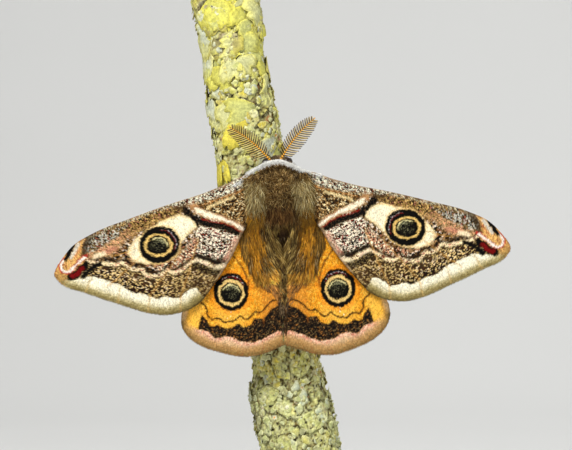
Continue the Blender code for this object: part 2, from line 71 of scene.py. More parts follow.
def through(points: Array, shares: Array) -> Array:
    """A smooth curve through points: a cubic between each two, with the slopes there
    taken from their neighbours over chord length.

    Args:
        points: Rows of coordinates.
        shares: Shares of the curve's chord length, from 0 to 1.

    Returns:
        One row of coordinates for each share.
    """
    points = np.asarray(points, float)
    steps = np.linalg.norm(np.diff(points, axis=0), axis=1)
    chord = np.concatenate([[0.0], np.cumsum(steps)]) / steps.sum()
    slopes = np.gradient(points, chord, axis=0)
    shares = np.clip(np.atleast_1d(np.asarray(shares, float)), 0.0, 1.0)
    at = np.clip(np.searchsorted(chord, shares, side="right") - 1, 0, len(points) - 2)
    span = (chord[at + 1] - chord[at])[:, None]
    t = (shares - chord[at])[:, None] / span
    return (
        (2 * t**3 - 3 * t**2 + 1) * points[at]
        + (t**3 - 2 * t**2 + t) * span * slopes[at]
        + (3 * t**2 - 2 * t**3) * points[at + 1]
        + (t**3 - t**2) * span * slopes[at + 1]
    )


def smooth(low: float, high: float, value: Array) -> Array:
    """The share 3t^2 - 2t^3 of the way from low to high, held at 0 and 1 outside."""
    t = np.clip((np.asarray(value, float) - low) / (high - low), 0.0, 1.0)
    return t * t * (3 - 2 * t)


def fall(low: float, high: float, value: Array) -> Array:
    """The share that smooth leaves: 1 up to low, and 0 from high on."""
    return 1 - smooth(low, high, value)


def unit(vectors: Array) -> Array:
    """Each row over its own length."""
    return vectors / np.maximum(np.linalg.norm(vectors, axis=-1, keepdims=True), 1e-12)


def hashed(cells: Array, salt: float) -> Array:
    """A number from 0 to 1 for each row of whole numbers, the broken part of a large sine."""
    weights = np.array([127.1, 311.7, 74.7])[: cells.shape[-1]]
    return np.abs(np.sin(cells @ weights + salt) * 43758.5453) % 1.0


def noise(points: Array, scale: float, salt: float = 0.0) -> Array:
    """Value noise from -1 to 1: hashed corners of a grid of cubes, blended smoothly.

    Args:
        points: Rows of two or three coordinates.
        scale: Size of a cube.
        salt: Picks another noise of the same kind.

    Returns:
        One value for each row.
    """
    at = points / scale
    base = np.floor(at)
    t = at - base
    t = t * t * (3 - 2 * t)
    total = np.zeros(points.shape[:-1])
    for corner in range(2 ** points.shape[-1]):
        step = np.array([(corner >> axis) & 1 for axis in range(points.shape[-1])])
        share = np.prod(np.where(step == 1, t, 1 - t), axis=-1)
        total += share * hashed(base + step, salt)
    return 2 * total - 1


def clouds(points: Array, scale: float, salt: float = 0.0, layers: int = 3) -> Array:
    """Layers of value noise, each half as large and half as strong as the last."""
    total = sum(0.5**k * noise(points, scale * 0.5**k, salt + 7.3 * k) for k in range(layers))
    return total / (2 - 0.5 ** (layers - 1))


def cell_noise(points: Array, scale: float, salt: float = 0.0,
               turns: float = 0.0) -> tuple[Array, Array, Array]:
    """Distances to the nearest two of one jittered seed a cube, over the cube's size.

    Args:
        points: Rows of two or three coordinates.
        scale: Size of a cube.
        salt: Picks another pattern of the same kind.
        turns: The part of the cubes that take a low and a high number in turns.

    Returns:
        The nearest distance, the second nearest, and the nearest seed's own number.
    """
    at = points / scale
    base = np.floor(at)
    near = np.full(points.shape[:-1], 9.0)
    second = near.copy()
    owner = np.zeros(points.shape[:-1])
    sides = points.shape[-1]
    for corner in range(3**sides):
        step = np.array([corner // 3**axis % 3 for axis in range(sides)]) - 1
        cell = base + step
        seed = cell + np.stack([hashed(cell, salt + 19.19 * k) for k in range(sides)], -1)
        away = np.linalg.norm(at - seed, axis=-1)
        closer = away < near
        second = np.where(closer, near, np.minimum(second, away))
        number = hashed(cell, salt + 91.7)
        if turns:
            odd = (cell.sum(-1) % 2 == 1) ^ (hashed(cell, salt + 47.3) > turns)
            number = 0.5 * (number + odd)
        owner = np.where(closer, number, owner)
        near = np.where(closer, away, near)
    return near, second, owner


def to_line(u: Array, w: Array, points: list[tuple[float, float]]) -> Array:
    """Distance of each (u, w) from an open line of straight runs.

    Args:
        u: Places across.
        w: Places along.
        points: The line's corners.

    Returns:
        One distance for each place.
    """
    line = np.asarray(points, float)
    spot = np.stack([u, w], -1)
    best = np.full(u.shape, 1e9)
    for start, end in zip(line, line[1:]):
        run = end - start
        share = np.clip((spot - start) @ run / (run @ run), 0.0, 1.0)
        best = np.minimum(best, np.linalg.norm(spot - start - share[..., None] * run, axis=-1))
    return best


def inside(u: Array, w: Array, points: list[tuple[float, float]]) -> Array:
    """Signed distance of each (u, w) to a closed outline, over 0 inside it.

    Args:
        u: Places across.
        w: Places along.
        points: The outline's corners in order.

    Returns:
        One distance for each place.
    """
    ring = np.asarray([*points, points[0]], float)
    crossed = np.zeros(u.shape, bool)
    for (u0, w0), (u1, w1) in zip(ring, ring[1:]):
        spans = (w0 > w) != (w1 > w)
        crossed ^= spans & (u < (u1 - u0) * (w - w0) / (w1 - w0 + 1e-12) + u0)
    away = to_line(u, w, [*points, points[0]])
    return np.where(crossed, away, -away)


def curve_of(points: list[tuple[float, float]], count: int = 48) -> list[tuple[float, float]]:
    """Points close together on the smooth curve through a few."""
    return [tuple(row) for row in through(points, np.linspace(0, 1, count))]


def fast_mesh(name: str, verts: Array, faces: Array) -> bpy.types.Mesh:
    """A mesh from whole arrays of points and of equal faces.

    Args:
        name: Name of the mesh.
        verts: Points in metres, a row each.
        faces: Corner numbers, three or four a row.

    Returns:
        The mesh, smooth shaded.
    """
    mesh = bpy.data.meshes.new(name)
    sides = faces.shape[1]
    mesh.vertices.add(len(verts))
    mesh.vertices.foreach_set("co", np.ascontiguousarray(verts, np.float32).ravel())
    mesh.loops.add(faces.size)
    mesh.loops.foreach_set("vertex_index", faces.astype(np.int32).ravel())
    mesh.polygons.add(len(faces))
    mesh.polygons.foreach_set("loop_start", np.arange(0, faces.size, sides, dtype=np.int32))
    mesh.update(calc_edges=True)
    mesh.shade_smooth()
    return mesh


def give_colour(mesh: bpy.types.Mesh, colours: Array) -> None:
    """Stores one colour a point as the attribute that the finishes read.

    Args:
        mesh: The mesh.
        colours: Rows of red, green and blue, linear.
    """
    layer = mesh.attributes.new(PATTERN, "FLOAT_COLOR", "POINT")
    full = np.ones((len(colours), 4), np.float32)
    full[:, :3] = np.clip(colours, 0.0, 1.0)
    layer.data.foreach_set("color", full.ravel())


def give_uv(mesh: bpy.types.Mesh, per_point: Array) -> None:
    """Stores the map OFBake from one place a point.

    Args:
        mesh: The mesh.
        per_point: Rows of two coordinates.
    """
    corners = np.empty(len(mesh.loops), np.int32)
    mesh.loops.foreach_get("vertex_index", corners)
    layer = mesh.uv_layers.new(name="OFBake")
    layer.uv.foreach_set("vector", per_point[corners].astype(np.float32).ravel())


def grid_faces(rows: int, columns: int, round_columns: bool = False) -> Array:
    """Four-sided faces of a grid of points that are numbered row by row.

    Args:
        rows: Points from first row to last.
        columns: Points in a row.
        round_columns: Whether the last column joins the first.

    Returns:
        Corner numbers, four a row.
    """
    across = np.arange(columns if round_columns else columns - 1)
    ahead = (across + 1) % columns
    low = np.arange(rows - 1)[:, None] * columns
    return np.stack([low + across, low + ahead, low + columns + ahead, low + columns + across],
                    -1).reshape(-1, 4)


def halved(quads: Array) -> Array:
    """Each four-sided face as two triangles."""
    return np.concatenate([quads[:, [0, 1, 2]], quads[:, [0, 2, 3]]])


def ring_turns(count: int) -> Array:
    """Equal turns round a ring in radians."""
    return np.linspace(0, 2 * math.pi, count, endpoint=False)


def capped(rings: int, around: int) -> Array:
    """Triangles of a closed tube: its rings, and a fan to one point at each end.

    Args:
        rings: Rings from first end to last.
        around: Points in a ring.

    Returns:
        Corner numbers, three a row; the ends' points are numbered after the rings'.
    """
    at = np.arange(around)
    ahead = (at + 1) % around
    total, low = rings * around, (rings - 1) * around
    first = np.stack([ahead, at, np.full(around, total)], -1)
    last = np.stack([low + at, low + ahead, np.full(around, total + 1)], -1)
    sheet = halved(grid_faces(rings, around, round_columns=True))
    return np.concatenate([sheet, first, last])[:, ::-1]


def border_of(rows: int, columns: int) -> Array:
    """Numbers of the points round a grid's border, in order."""
    return np.concatenate([
        np.arange(columns),
        np.arange(1, rows) * columns + columns - 1,
        rows * columns - 2 - np.arange(columns - 1),
        np.arange(rows - 2, 0, -1) * columns,
    ])


def copies(one: Array, count: int, points: int) -> Array:
    """Faces of one shape repeated for many, each of which has so many points."""
    return (np.arange(count)[:, None, None] * points + one[None]).reshape(-1, one.shape[1])


@dataclass
class Piece:
    """One finished piece of the model, and what it says to the frame."""

    name: str
    mesh: bpy.types.Mesh
    finish: bpy.types.Material
    slot: str
    nodes: tuple[str, ...] = ()

    def show(self) -> None:
        """Puts the piece in the scene on the model's one body."""
        made = bpy.data.objects.new(self.name, self.mesh)
        bpy.context.scene.collection.objects.link(made)
        made.data.materials.append(self.finish)
        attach(made, "root")
        if self.nodes:
            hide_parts(*self.nodes)
        log.info("%s: %d faces", self.name, len(self.mesh.polygons))


class Nodes:
    """Builds a material's nodes in short words."""

    def __init__(self, name: str) -> None:
        """Starts a material with a Principled shader and its output."""
        self.material = bpy.data.materials.new(name)
        self.material.use_nodes = True
        self.tree = self.material.node_tree
        self.shader = self.tree.nodes["Principled BSDF"]

    def add(self, kind: str, inputs: dict | None = None, **settings: object) -> bpy.types.Node:
        """Adds a node.

        Args:
            kind: Blender's name for the node without ShaderNode.
            inputs: Socket name or number to a value or another node's socket.
            settings: The node's own settings.

        Returns:
            The node.
        """
        made = self.tree.nodes.new("ShaderNode" + kind)
        for key, value in settings.items():
            setattr(made, key, value)
        for key, value in (inputs or {}).items():
            self.feed(made.inputs[key], value)
        return made

    def feed(self, socket: bpy.types.NodeSocket, value: object) -> None:
        """Links a socket to another, or sets its value."""
        if isinstance(value, bpy.types.NodeSocket):
            self.tree.links.new(value, socket)
        else:
            socket.default_value = value

    def place(self, scale: tuple[float, float, float] = (1.0, 1.0, 1.0)) -> bpy.types.NodeSocket:
        """Object coordinates in metres, scaled."""
        where = self.add("TexCoord")
        moved = self.add("Mapping", {"Vector": where.outputs["Object"], "Scale": scale})
        return moved.outputs["Vector"]

    def noise(self, scale: float, detail: float = 3.0,
              place: bpy.types.NodeSocket | None = None) -> bpy.types.NodeSocket:
        """A cloudy value from 0 to 1 on Object coordinates."""
        made = self.add("TexNoise", {
            "Vector": place or self.place(), "Scale": scale, "Detail": detail,
        })
        return made.outputs["Fac"]

    def cells(self, scale: float,
              place: bpy.types.NodeSocket | None = None) -> bpy.types.Node:
        """Cells on Object coordinates."""
        return self.add("TexVoronoi", {"Vector": place or self.place(), "Scale": scale})

    def ramp(self, value: bpy.types.NodeSocket, low: float, high: float,
             first: float, last: float) -> bpy.types.NodeSocket:
        """A value taken from one range to another."""
        made = self.add("MapRange", {
            "Value": value, "From Min": low, "From Max": high, "To Min": first, "To Max": last,
        })
        return made.outputs["Result"]

    def math(self, operation: str, first: object, second: object) -> bpy.types.NodeSocket:
        """One sum of two values."""
        made = self.add("Math", {0: first, 1: second}, operation=operation)
        return made.outputs[0]

    def mix(self, share: object, first: object, second: object,
            blend: str = "MIX") -> bpy.types.NodeSocket:
        """Two colours mixed by a share."""
        made = self.add("Mix", data_type="RGBA", blend_type=blend)
        self.feed(made.inputs[0], share)
        self.feed(made.inputs[6], first)
        self.feed(made.inputs[7], second)
        return made.outputs[2]

    def shaded(self, tone: bpy.types.NodeSocket) -> bpy.types.NodeSocket:
        """The painted pattern, lighter or darker by a tone."""
        shade = self.add("CombineColor", {0: tone, 1: tone, 2: tone}).outputs[0]
        painted = self.add("Attribute", attribute_name=PATTERN).outputs["Color"]
        return self.mix(1.0, painted, shade, "MULTIPLY")

    def bump(self, height: bpy.types.NodeSocket, distance: float, strength: float = 1.0) -> None:
        """Raises the surface by a height, with the depth of 1 in metres."""
        made = self.add("Bump", {"Height": height, "Distance": distance, "Strength": strength})
        self.feed(self.shader.inputs["Normal"], made.outputs["Normal"])

    def set(self, **values: object) -> bpy.types.Material:
        """Sets the shader's sockets, with _ for a space in their names.

        Returns:
            The material.
        """
        for key, value in values.items():
            self.feed(self.shader.inputs[key.replace("_", " ")], value)
        return self.material


def rgb(red: float, green: float, blue: float) -> Colour:
    """A linear colour from screen values of 0 to 255."""
    values = np.array([red, green, blue]) / 255.0
    linear = np.where(values <= 0.04045, values / 12.92, ((values + 0.055) / 1.055) ** 2.4)
    return tuple(float(v) for v in linear)


@dataclass(frozen=True)
class ScaledWing:
    """A wing's scales: the painted pattern, broken up by rows of tiny scales."""

    name: str
    across: float = 9500.0
    along: float = 5200.0
    depth: float = 2.2e-5

    def build(self) -> bpy.types.Material:
        """Returns the material."""
        nodes = Nodes(self.name)
        place = nodes.place((self.across, self.across * 0.3, self.along))
        cells = nodes.cells(1.0, place)
        tone = nodes.add("SeparateColor", {"Color": cells.outputs["Color"]}).outputs[0]
        dust = nodes.noise(900.0, 4.0)
        light = nodes.math("ADD", nodes.ramp(tone, 0, 1, 0.64, 1.26),
                           nodes.ramp(dust, 0.3, 0.7, -0.06, 0.06))
        nodes.bump(nodes.math("ADD", cells.outputs["Distance"],
                              nodes.math("MULTIPLY", tone, 0.6)), self.depth, 0.8)
        return nodes.set(Base_Color=nodes.shaded(light), Roughness=0.85, Specular_IOR_Level=0.08)


@dataclass(frozen=True)
class Hair:
    """Hair and fringe: the painted colour with a weak, soft specular gloss."""

    name: str
    roughness: float = 0.62

    def build(self) -> bpy.types.Material:
        """Returns the material."""
        nodes = Nodes(self.name)
        tone = nodes.ramp(nodes.noise(2600.0, 2.0), 0.3, 0.7, 0.82, 1.15)
        return nodes.set(Base_Color=nodes.shaded(tone), Roughness=self.roughness,
                         Specular_IOR_Level=0.12)


@dataclass(frozen=True)
class Chitin:
    """Bare horn of feelers, feet and claws, ringed and a little glossy."""

    name: str
    bump: float = 8.0e-6

    def build(self) -> bpy.types.Material:
        """Returns the material."""
        nodes = Nodes(self.name)
        grain = nodes.noise(5200.0, 3.0)
        tone = nodes.ramp(grain, 0.3, 0.7, 0.8, 1.18)
        nodes.bump(grain, self.bump)
        return nodes.set(Base_Color=nodes.shaded(tone), Roughness=0.42, Specular_IOR_Level=0.5)


@dataclass(frozen=True)
class CompoundEye:
    """A dark eye of tiny facets."""

    name: str

    def build(self) -> bpy.types.Material:
        """Returns the material."""
        nodes = Nodes(self.name)
        facets = nodes.cells(16000.0)
        nodes.bump(facets.outputs["Distance"], 1.0e-5, 0.7)
        colour = nodes.mix(nodes.ramp(facets.outputs["Distance"], 0, 0.7, 0, 1),
                           (0.022, 0.012, 0.007, 1), (0.05, 0.03, 0.018, 1))
        return nodes.set(Base_Color=colour, Roughness=0.2, Specular_IOR_Level=0.6,
                         Coat_Weight=0.3)


@dataclass(frozen=True)
class LichenedBark:
    """Bark and lichen: the painted patches with fine grit and pores."""

    name: str

    def build(self) -> bpy.types.Material:
        """Returns the material."""
        nodes = Nodes(self.name)
        grit = nodes.cells(5200.0)
        grain = nodes.noise(2600.0, 6.0)
        tone = nodes.math("ADD", nodes.ramp(grain, 0.25, 0.75, 0.68, 1.22),
                          nodes.ramp(grit.outputs["Distance"], 0, 0.8, 0.08, -0.12))
        nodes.bump(nodes.math("ADD", grain, nodes.math("MULTIPLY", grit.outputs["Distance"], 0.4)),
                   9.0e-5, 0.7)
        return nodes.set(Base_Color=nodes.shaded(tone), Roughness=0.9, Specular_IOR_Level=0.2)


@dataclass(frozen=True)
class StainedWood:
    """The stand's dark stained wood, with fine grain along X."""

    name: str

    def build(self) -> bpy.types.Material:
        """Returns the material."""
        nodes = Nodes(self.name)
        place = nodes.place((60.0, 900.0, 900.0))
        warp = nodes.noise(1.2, 5.0, place)
        pores = nodes.noise(4.0, 2.0, nodes.place((90.0, 2400.0, 2400.0)))
        share = nodes.math("ADD", nodes.ramp(warp, 0.3, 0.7, 0, 0.8),
                           nodes.ramp(pores, 0.55, 0.75, 0, 0.4))
        colour = nodes.mix(share, (0.028, 0.019, 0.014, 1), (0.075, 0.048, 0.032, 1))
        nodes.bump(nodes.math("SUBTRACT", warp, nodes.ramp(pores, 0.55, 0.8, 0, 1)), 4.0e-5, 0.6)
        return nodes.set(Base_Color=colour, Roughness=nodes.ramp(warp, 0.3, 0.7, 0.34, 0.46),
                         Coat_Weight=0.15, Coat_Roughness=0.3)


@dataclass(frozen=True)
class BrushedSteel:
    """The rod's turned steel."""

    name: str

    def build(self) -> bpy.types.Material:
        """Returns the material."""
        nodes = Nodes(self.name)
        turned = nodes.noise(1.0, 3.0, nodes.place((300.0, 300.0, 14000.0)))
        nodes.bump(turned, 4.0e-6)
        colour = nodes.mix(nodes.ramp(turned, 0.3, 0.7, 0, 1),
                           (0.42, 0.42, 0.41, 1), (0.62, 0.62, 0.6, 1))
        return nodes.set(Base_Color=colour, Metallic=1.0,
                         Roughness=nodes.ramp(turned, 0.3, 0.7, 0.24, 0.38))


@dataclass(frozen=True)
class PalePaint:
    """The studio's floor and backdrop."""

    name: str

    def build(self) -> bpy.types.Material:
        """Returns the material."""
        nodes = Nodes(self.name)
        tone = nodes.noise(9.0, 2.0)
        colour = nodes.mix(nodes.ramp(tone, 0.2, 0.8, 0, 1),
                           (0.70, 0.70, 0.68, 1), (0.73, 0.73, 0.71, 1))
        return nodes.set(Base_Color=colour, Roughness=0.85)


@cache
def material_of(finish: ScaledWing | Hair | Chitin | CompoundEye | LichenedBark
                | StainedWood | BrushedSteel | PalePaint) -> bpy.types.Material:
    """A finish's material, built once and then shared."""
    return finish.build()


@dataclass
class Pose:
    """Where the moth sits, with the small turn of its body about the line of sight."""

    x: float = -2.73
    z: float = 46.36
    tilt: float = math.radians(-2.83)

    def place(self, local: Array) -> Array:
        """Points of the moth in millimetres, (u, y, w), as metres in the frame.

        A turn by the tilt about the depth axis, then the shift to the moth's middle.

        Args:
            local: Rows of u, y and w.

        Returns:
            Rows of x, y and z.
        """
        cos, sin = math.cos(self.tilt), math.sin(self.tilt)
        u, y, w = local[..., 0], local[..., 1], local[..., 2]
        return np.stack([u * cos + w * sin + self.x, y, w * cos - u * sin + self.z], -1) * MM

    def back(self, world: Array) -> Array:
        """The reverse of place."""
        cos, sin = math.cos(self.tilt), math.sin(self.tilt)
        x, y, z = world[..., 0] / MM - self.x, world[..., 1] / MM, world[..., 2] / MM - self.z
        return np.stack([x * cos - z * sin, y, z * cos + x * sin], -1)


POSE = Pose()


@dataclass
class Strands:
    """A coat of thin tapered tufts, each a bent three-sided spike over the skin.

    A tuft starts at its root, leaves along its own direction, and bends towards a
    second one. Its section is a triangle, whose height is the share flat of its width,
    and which loses the share taper of its width towards the tip. In the map OFBake each
    tuft has a small square of its own, whose side is patch.
    """

    roots: Array
    ahead: Array
    lean: Array
    length: Array
    width: Array
    root_colour: Array
    tip_colour: Array
    unwrap: Array
    out: Array = field(default_factory=lambda: np.array([[0.0, -1.0, 0.0]]))
    rings: int = 2
    flat: float = 0.45
    taper: float = 0.7
    patch: float = 0.003

    def build(self, name: str) -> bpy.types.Mesh:
        """Makes the coat's mesh.

        Args:
            name: Name of the mesh.

        Returns:
            The mesh, with its colours and its map OFBake.
        """
        count, rings = len(self.roots), self.rings
        share = np.linspace(0.0, 1.0, rings + 1)[:-1]
        line = (
            self.roots[:, None]
            + self.length[:, None, None] * (
                self.ahead[:, None] * (share - 0.5 * share**2)[None, :, None]
                + self.lean[:, None] * (0.5 * share**2)[None, :, None]
            )
        )
        tip = self.roots + self.length[:, None] * 0.5 * (self.ahead + self.lean)
        side = unit(np.cross(self.ahead, self.out))
        half = self.width[:, None] / 2 * (1 - share[None] ** 1.6 * self.taper)
        corners = np.stack([
            line - side[:, None] * half[..., None],
            line + side[:, None] * half[..., None],
            line + self.out[:, None] * (2 * self.flat * half)[..., None],
        ], 2)
        verts = np.concatenate([corners.reshape(count, rings * 3, 3), tip[:, None]], 1)
        triangles = []
        for ring in range(rings - 1):
            for k in range(3):
                a, b = ring * 3 + k, ring * 3 + (k + 1) % 3
                triangles += [(a, b, b + 3), (a, b + 3, a + 3)]
        top = (rings - 1) * 3
        triangles += [(top, top + 1, rings * 3), (top + 1, top + 2, rings * 3),
                      (top + 2, top, rings * 3), (0, 2, 1)]
        faces = copies(np.array(triangles)[:, ::-1], count, rings * 3 + 1)
        mesh = fast_mesh(name, POSE.place(verts.reshape(-1, 3)), faces)
        along = np.concatenate([np.repeat(share, 3), [1.0]])
        tone = along[None, :, None] ** 1.2
        colours = self.root_colour[:, None] * (1 - tone) + self.tip_colour[:, None] * tone
        give_colour(mesh, colours.reshape(-1, 3))
        square = np.stack([[0.0, 0.5, 1.0] * rings + [0.5], along], -1) * self.patch
        give_uv(mesh, (self.unwrap[:, None] + square[None]).reshape(-1, 2))
        return mesh


@dataclass(frozen=True)
class WingPlan:
    """A wing's four borders and its small bends, all in the moth's millimetres."""

    name: str
    root: list[tuple[float, float]]
    front: list[tuple[float, float]]
    rim: list[tuple[float, float]]
    back: list[tuple[float, float]]
    veins: list[tuple[float, float]]
    camber: float
    depth: Callable[[Array, Array], Array]


def fore_depth(u: Array, w: Array) -> Array:
    """Depth of a forewing's middle surface: it droops outwards and towards its tail edge."""
    return -11.6 + 0.11 * (np.abs(u) - 4) - 0.03 * w


def hind_depth(u: Array, w: Array) -> Array:
    """Depth of a hindwing's middle surface, which lies behind the forewing."""
    return -11.0 + 0.17 * np.abs(u) + 0 * w


FORE = WingPlan(
    name="forewing",
    root=[(1.7, 3.4), (2.3, 1.2), (2.5, -1.2)],
    front=[(1.7, 3.4), (4.0, 3.7), (7.0, 2.65), (10.0, 1.7), (15.0, 0.5), (20.0, -0.9),
           (25.0, -2.45), (28.0, -4.0), (29.7, -5.8), (30.7, -7.3)],
    rim=[(30.7, -7.3), (31.0, -8.3), (30.3, -9.4), (27.0, -10.95), (22.5, -12.75),
         (18.5, -14.2), (16.3, -14.55), (14.3, -14.3), (12.6, -13.7), (11.2, -12.75)],
    back=[(2.5, -1.2), (4.1, -2.0), (5.3, -3.9), (6.9, -7.0), (9.2, -10.3), (11.2, -12.75)],
    veins=[(0.0, 0.0), (0.07, 0.0), (0.16, 0.40), (0.28, 0.46), (0.47, 0.0), (0.66, 0.0),
           (0.855, 0.0)],
    camber=0.55,
    depth=fore_depth,
)
HIND = WingPlan(
    name="hindwing",
    root=[(2.6, -0.4), (2.3, -1.4), (1.9, -2.6)],
    front=[(2.6, -0.4), (6.5, -3.0), (9.8, -6.2), (12.2, -9.8), (13.5, -12.9), (14.05, -15.0)],
    rim=[(14.05, -15.0), (14.1, -16.6), (13.3, -18.2), (11.6, -19.6), (9.0, -20.65),
         (6.0, -21.3), (3.6, -21.0), (1.6, -20.2), (0.2, -19.5)],
    back=[(1.9, -2.6), (0.9, -5.6), (0.35, -9.0), (0.2, -13.0), (0.2, -19.5)],
    veins=[(0.0, 0.0), (0.15, 0.0), (0.30, 0.35), (0.44, 0.35), (0.58, 0.0), (0.72, 0.0),
           (0.87, 0.0)],
    camber=0.25,
    depth=hind_depth,
)


@dataclass(frozen=True)
class WingShape:
    """One wing's surface on its own side: where each share and column lies."""

    plan: WingPlan
    side: Side
    turn: float = 0.0
    stretch: float = 1.0
    lift: float = 0.0
    close: float = 0.0
    hinge: tuple[float, float] = (3.0, 2.0)

    def flat(self, shares: Array, columns: Array) -> tuple[Array, Array]:
        """The wing laid flat: a Coons patch blended between its four borders.

        Args:
            shares: Shares of the way from root to rim.
            columns: Shares of the way from front edge to back edge, of the same shape.

        Returns:
            u and w in the plan, of that shape.
        """
        plan, form = self.plan, shares.shape
        front, back = np.asarray(plan.front), np.asarray(plan.back)
        s, v = shares.reshape(-1, 1), columns.reshape(-1, 1)
        corners = ((1 - s) * (1 - v) * front[0] + s * (1 - v) * front[-1]
                   + (1 - s) * v * back[0] + s * v * back[-1])
        points = ((1 - v) * through(front, s.ravel()) + v * through(back, s.ravel())
                  + (1 - s) * through(plan.root, v.ravel())
                  + s * through(plan.rim, v.ravel()) - corners)
        return points[:, 0].reshape(form), points[:, 1].reshape(form)

    def turned(self, u: Array, w: Array) -> tuple[Array, Array]:
        """Places in the plan, turned about the hinge as the wing is."""
        cos, sin = math.cos(self.turn), math.sin(self.turn)
        du, dw = u - self.hinge[0], w - self.hinge[1]
        return self.hinge[0] + du * cos - dw * sin, self.hinge[1] + du * sin + dw * cos

    def surface(self, shares: Array, columns: Array) -> Array:
        """The middle surface of the solid wing: the flat plan set in depth, with an
        arch between front and back edges and a rim that curls towards the branch.

        Args:
            shares: Shares of the way from root to rim.
            columns: Shares of the way from front edge to back edge, of the same shape.

        Returns:
            (u, y, w) of each, in the moth's millimetres.
        """
        u, w = self.flat(shares, columns)
        s, v = shares, columns
        arch = self.plan.camber * 4 * v * (1 - v) * np.sin(np.pi * np.minimum(s, 0.5))
        y = self.plan.depth(u, w) - arch + 0.45 * s**8
        u, w = u * self.stretch, w + self.lift * s**4 * np.sin(np.pi * v)
        # The inner edge is drawn to its fellow's, so that no gap shows between them.
        u = u - self.close * fall(0.3, 2.6, u) * smooth(-7.5, -11.5, w)
        u, w = self.turned(u, w)
        return np.stack([self.side.value * u, y, w], -1)


def fore_shape(side: Side) -> WingShape:
    """The forewing of that side; the left is turned a little, as in the photo."""
    if side is Side.LEFT:
        return WingShape(FORE, side, math.radians(-1.2), 1.01)
    return WingShape(FORE, side)


def hind_shape(side: Side) -> WingShape:
    """The hindwing of that side."""
    if side is Side.LEFT:
        return WingShape(HIND, side, lift=0.4, close=-0.1)
    return WingShape(HIND, side, close=0.72)


class Tone:
    """The moth's colours, linear, from screen values."""

    BLACK = rgb(9, 8, 7)
    CREAM = rgb(246, 236, 208)
    RED = rgb(128, 26, 26)
    LILAC = rgb(214, 208, 222)
    ORANGE = rgb(228, 155, 40)
    GOLD = rgb(240, 185, 72)


@dataclass
class Canvas:
    """The pattern of one wing, laid down coat by coat on its points.

    Places are in the plan of the wing, jittered a little so that every edge breaks up
    into scales. Of a speckle's clumps, the part turns takes light and dark in turns,
    and contrast spreads their tones about the mean.
    """

    u: Array
    w: Array
    seed: int
    turns: float = 0.78
    contrast: float = 1.45
    colour: Array = field(init=False)

    def __post_init__(self) -> None:
        """Keeps clean places, and starts the colours."""
        self.rng = np.random.default_rng(self.seed)
        self.plain = np.stack([self.u, self.w], -1)
        # Scales overlap, so each takes its colour from a place up to a scale away.
        self.u = self.u + self.rng.normal(0, 0.045, self.u.shape)
        self.w = self.w + self.rng.normal(0, 0.045, self.w.shape)
        for size, far in ((0.55, 0.08), (0.26, 0.06)):
            self.u = self.u + far * noise(self.plain, size, 3.0)
            self.w = self.w + far * noise(self.plain, size, 11.0)
        self.colour = np.zeros((*self.u.shape, 3))

    def off(self, points: list[tuple[float, float]]) -> Array:
        """Distance of each place from the smooth curve through points."""
        return to_line(self.u, self.w, curve_of(points))

    def lay(self, share: Array | float, colour: Colour | Array) -> None:
        """Covers the pattern with a colour by a share from 0 to 1."""
        share = np.clip(np.broadcast_to(share, self.u.shape), 0, 1)[..., None]
        self.colour = self.colour * (1 - share) + np.asarray(colour) * share

    def fleck(self, share: Array | float, colour: Colour | Array, amount: float,
              size: float = 0.0) -> None:
        """Covers single scales, or clumps of a size, at random inside a share.

        Args:
            share: Where, from 0 to 1.
            colour: The flecks' colour.
            amount: The part of the scales there that take it.
            size: Size of a clump in millimetres, or 0 for single scales.
        """
        chance = self.rng.random(self.u.shape)
        if size:
            cloud = 0.5 + 0.5 * noise(self.plain, size, 5.0 + 31 * amount + 7 * size)
            chance = 0.45 * chance + 0.55 * (1 - cloud)
        self.lay(np.where(chance < amount, 1.0, 0.0) * share, colour)

    def speckle(self, share: Array | float, tones: list[tuple[float, Colour]],
                size: float = 0.2, salt: float = 0.0) -> None:
        """Covers a share with small clumps of scales, each of one tone.

        Args:
            share: Where, from 0 to 1.
            tones: Parts of the clumps and their colours.
            size: Size of a clump in millimetres.
            salt: Picks another set of clumps.
        """
        turned = np.stack([self.u * 0.8 - self.w * 0.35, self.w + self.u * 0.3], -1)
        _, _, owner = cell_noise(turned, size, salt, self.turns)
        tones = sorted(tones, key=lambda tone: sum(tone[1]))
        parts = np.cumsum([part for part, _ in tones])
        which = np.searchsorted(parts / parts[-1], owner)
        colours = np.array([tone for _, tone in tones])
        middle = np.average(colours, 0, weights=[part for part, _ in tones])
        colours = np.clip(middle + self.contrast * (colours - middle), 0.004, 0.95)
        self.lay(share, colours[np.minimum(which, len(tones) - 1)])

    def band(self, points: list[tuple[float, float]], width: float, colour: Colour | Array,
             edge: float = 0.12, strength: float = 1.0) -> None:
        """A line along a smooth curve through points.

        Args:
            points: Points of the line in the plan.
            width: Its full width.
            colour: Its colour.
            edge: How far its edges fade.
            strength: How much it covers.
        """
        away = self.off(points)
        self.lay(strength * fall(width / 2 - edge, width / 2 + edge, away), colour)

    def spot(self, centre: tuple[float, float], half: tuple[float, float],
             turn: float = 0.0) -> Array:
        """How far each place is from a centre, over an oval's own half widths."""
        cos, sin = math.cos(turn), math.sin(turn)
        du, dw = self.u - centre[0], self.w - centre[1]
        return np.hypot((du * cos + dw * sin) / half[0], (dw * cos - du * sin) / half[1])

    def field(self, points: list[tuple[float, float]], edge: float) -> Array:
        """1 inside a closed outline, fading to 0 over an edge outside it."""
        return smooth(-edge, edge, inside(self.u, self.w, points))

    def warmed(self) -> Array:
        """The colours with the dark scales browner: the darker, the less blue."""
        light = self.colour.mean(-1)
        return np.stack([self.colour[..., 0], self.colour[..., 1] * (0.93 + 0.06 * light),
                         self.colour[..., 2] * (0.66 + 0.3 * light)], -1)


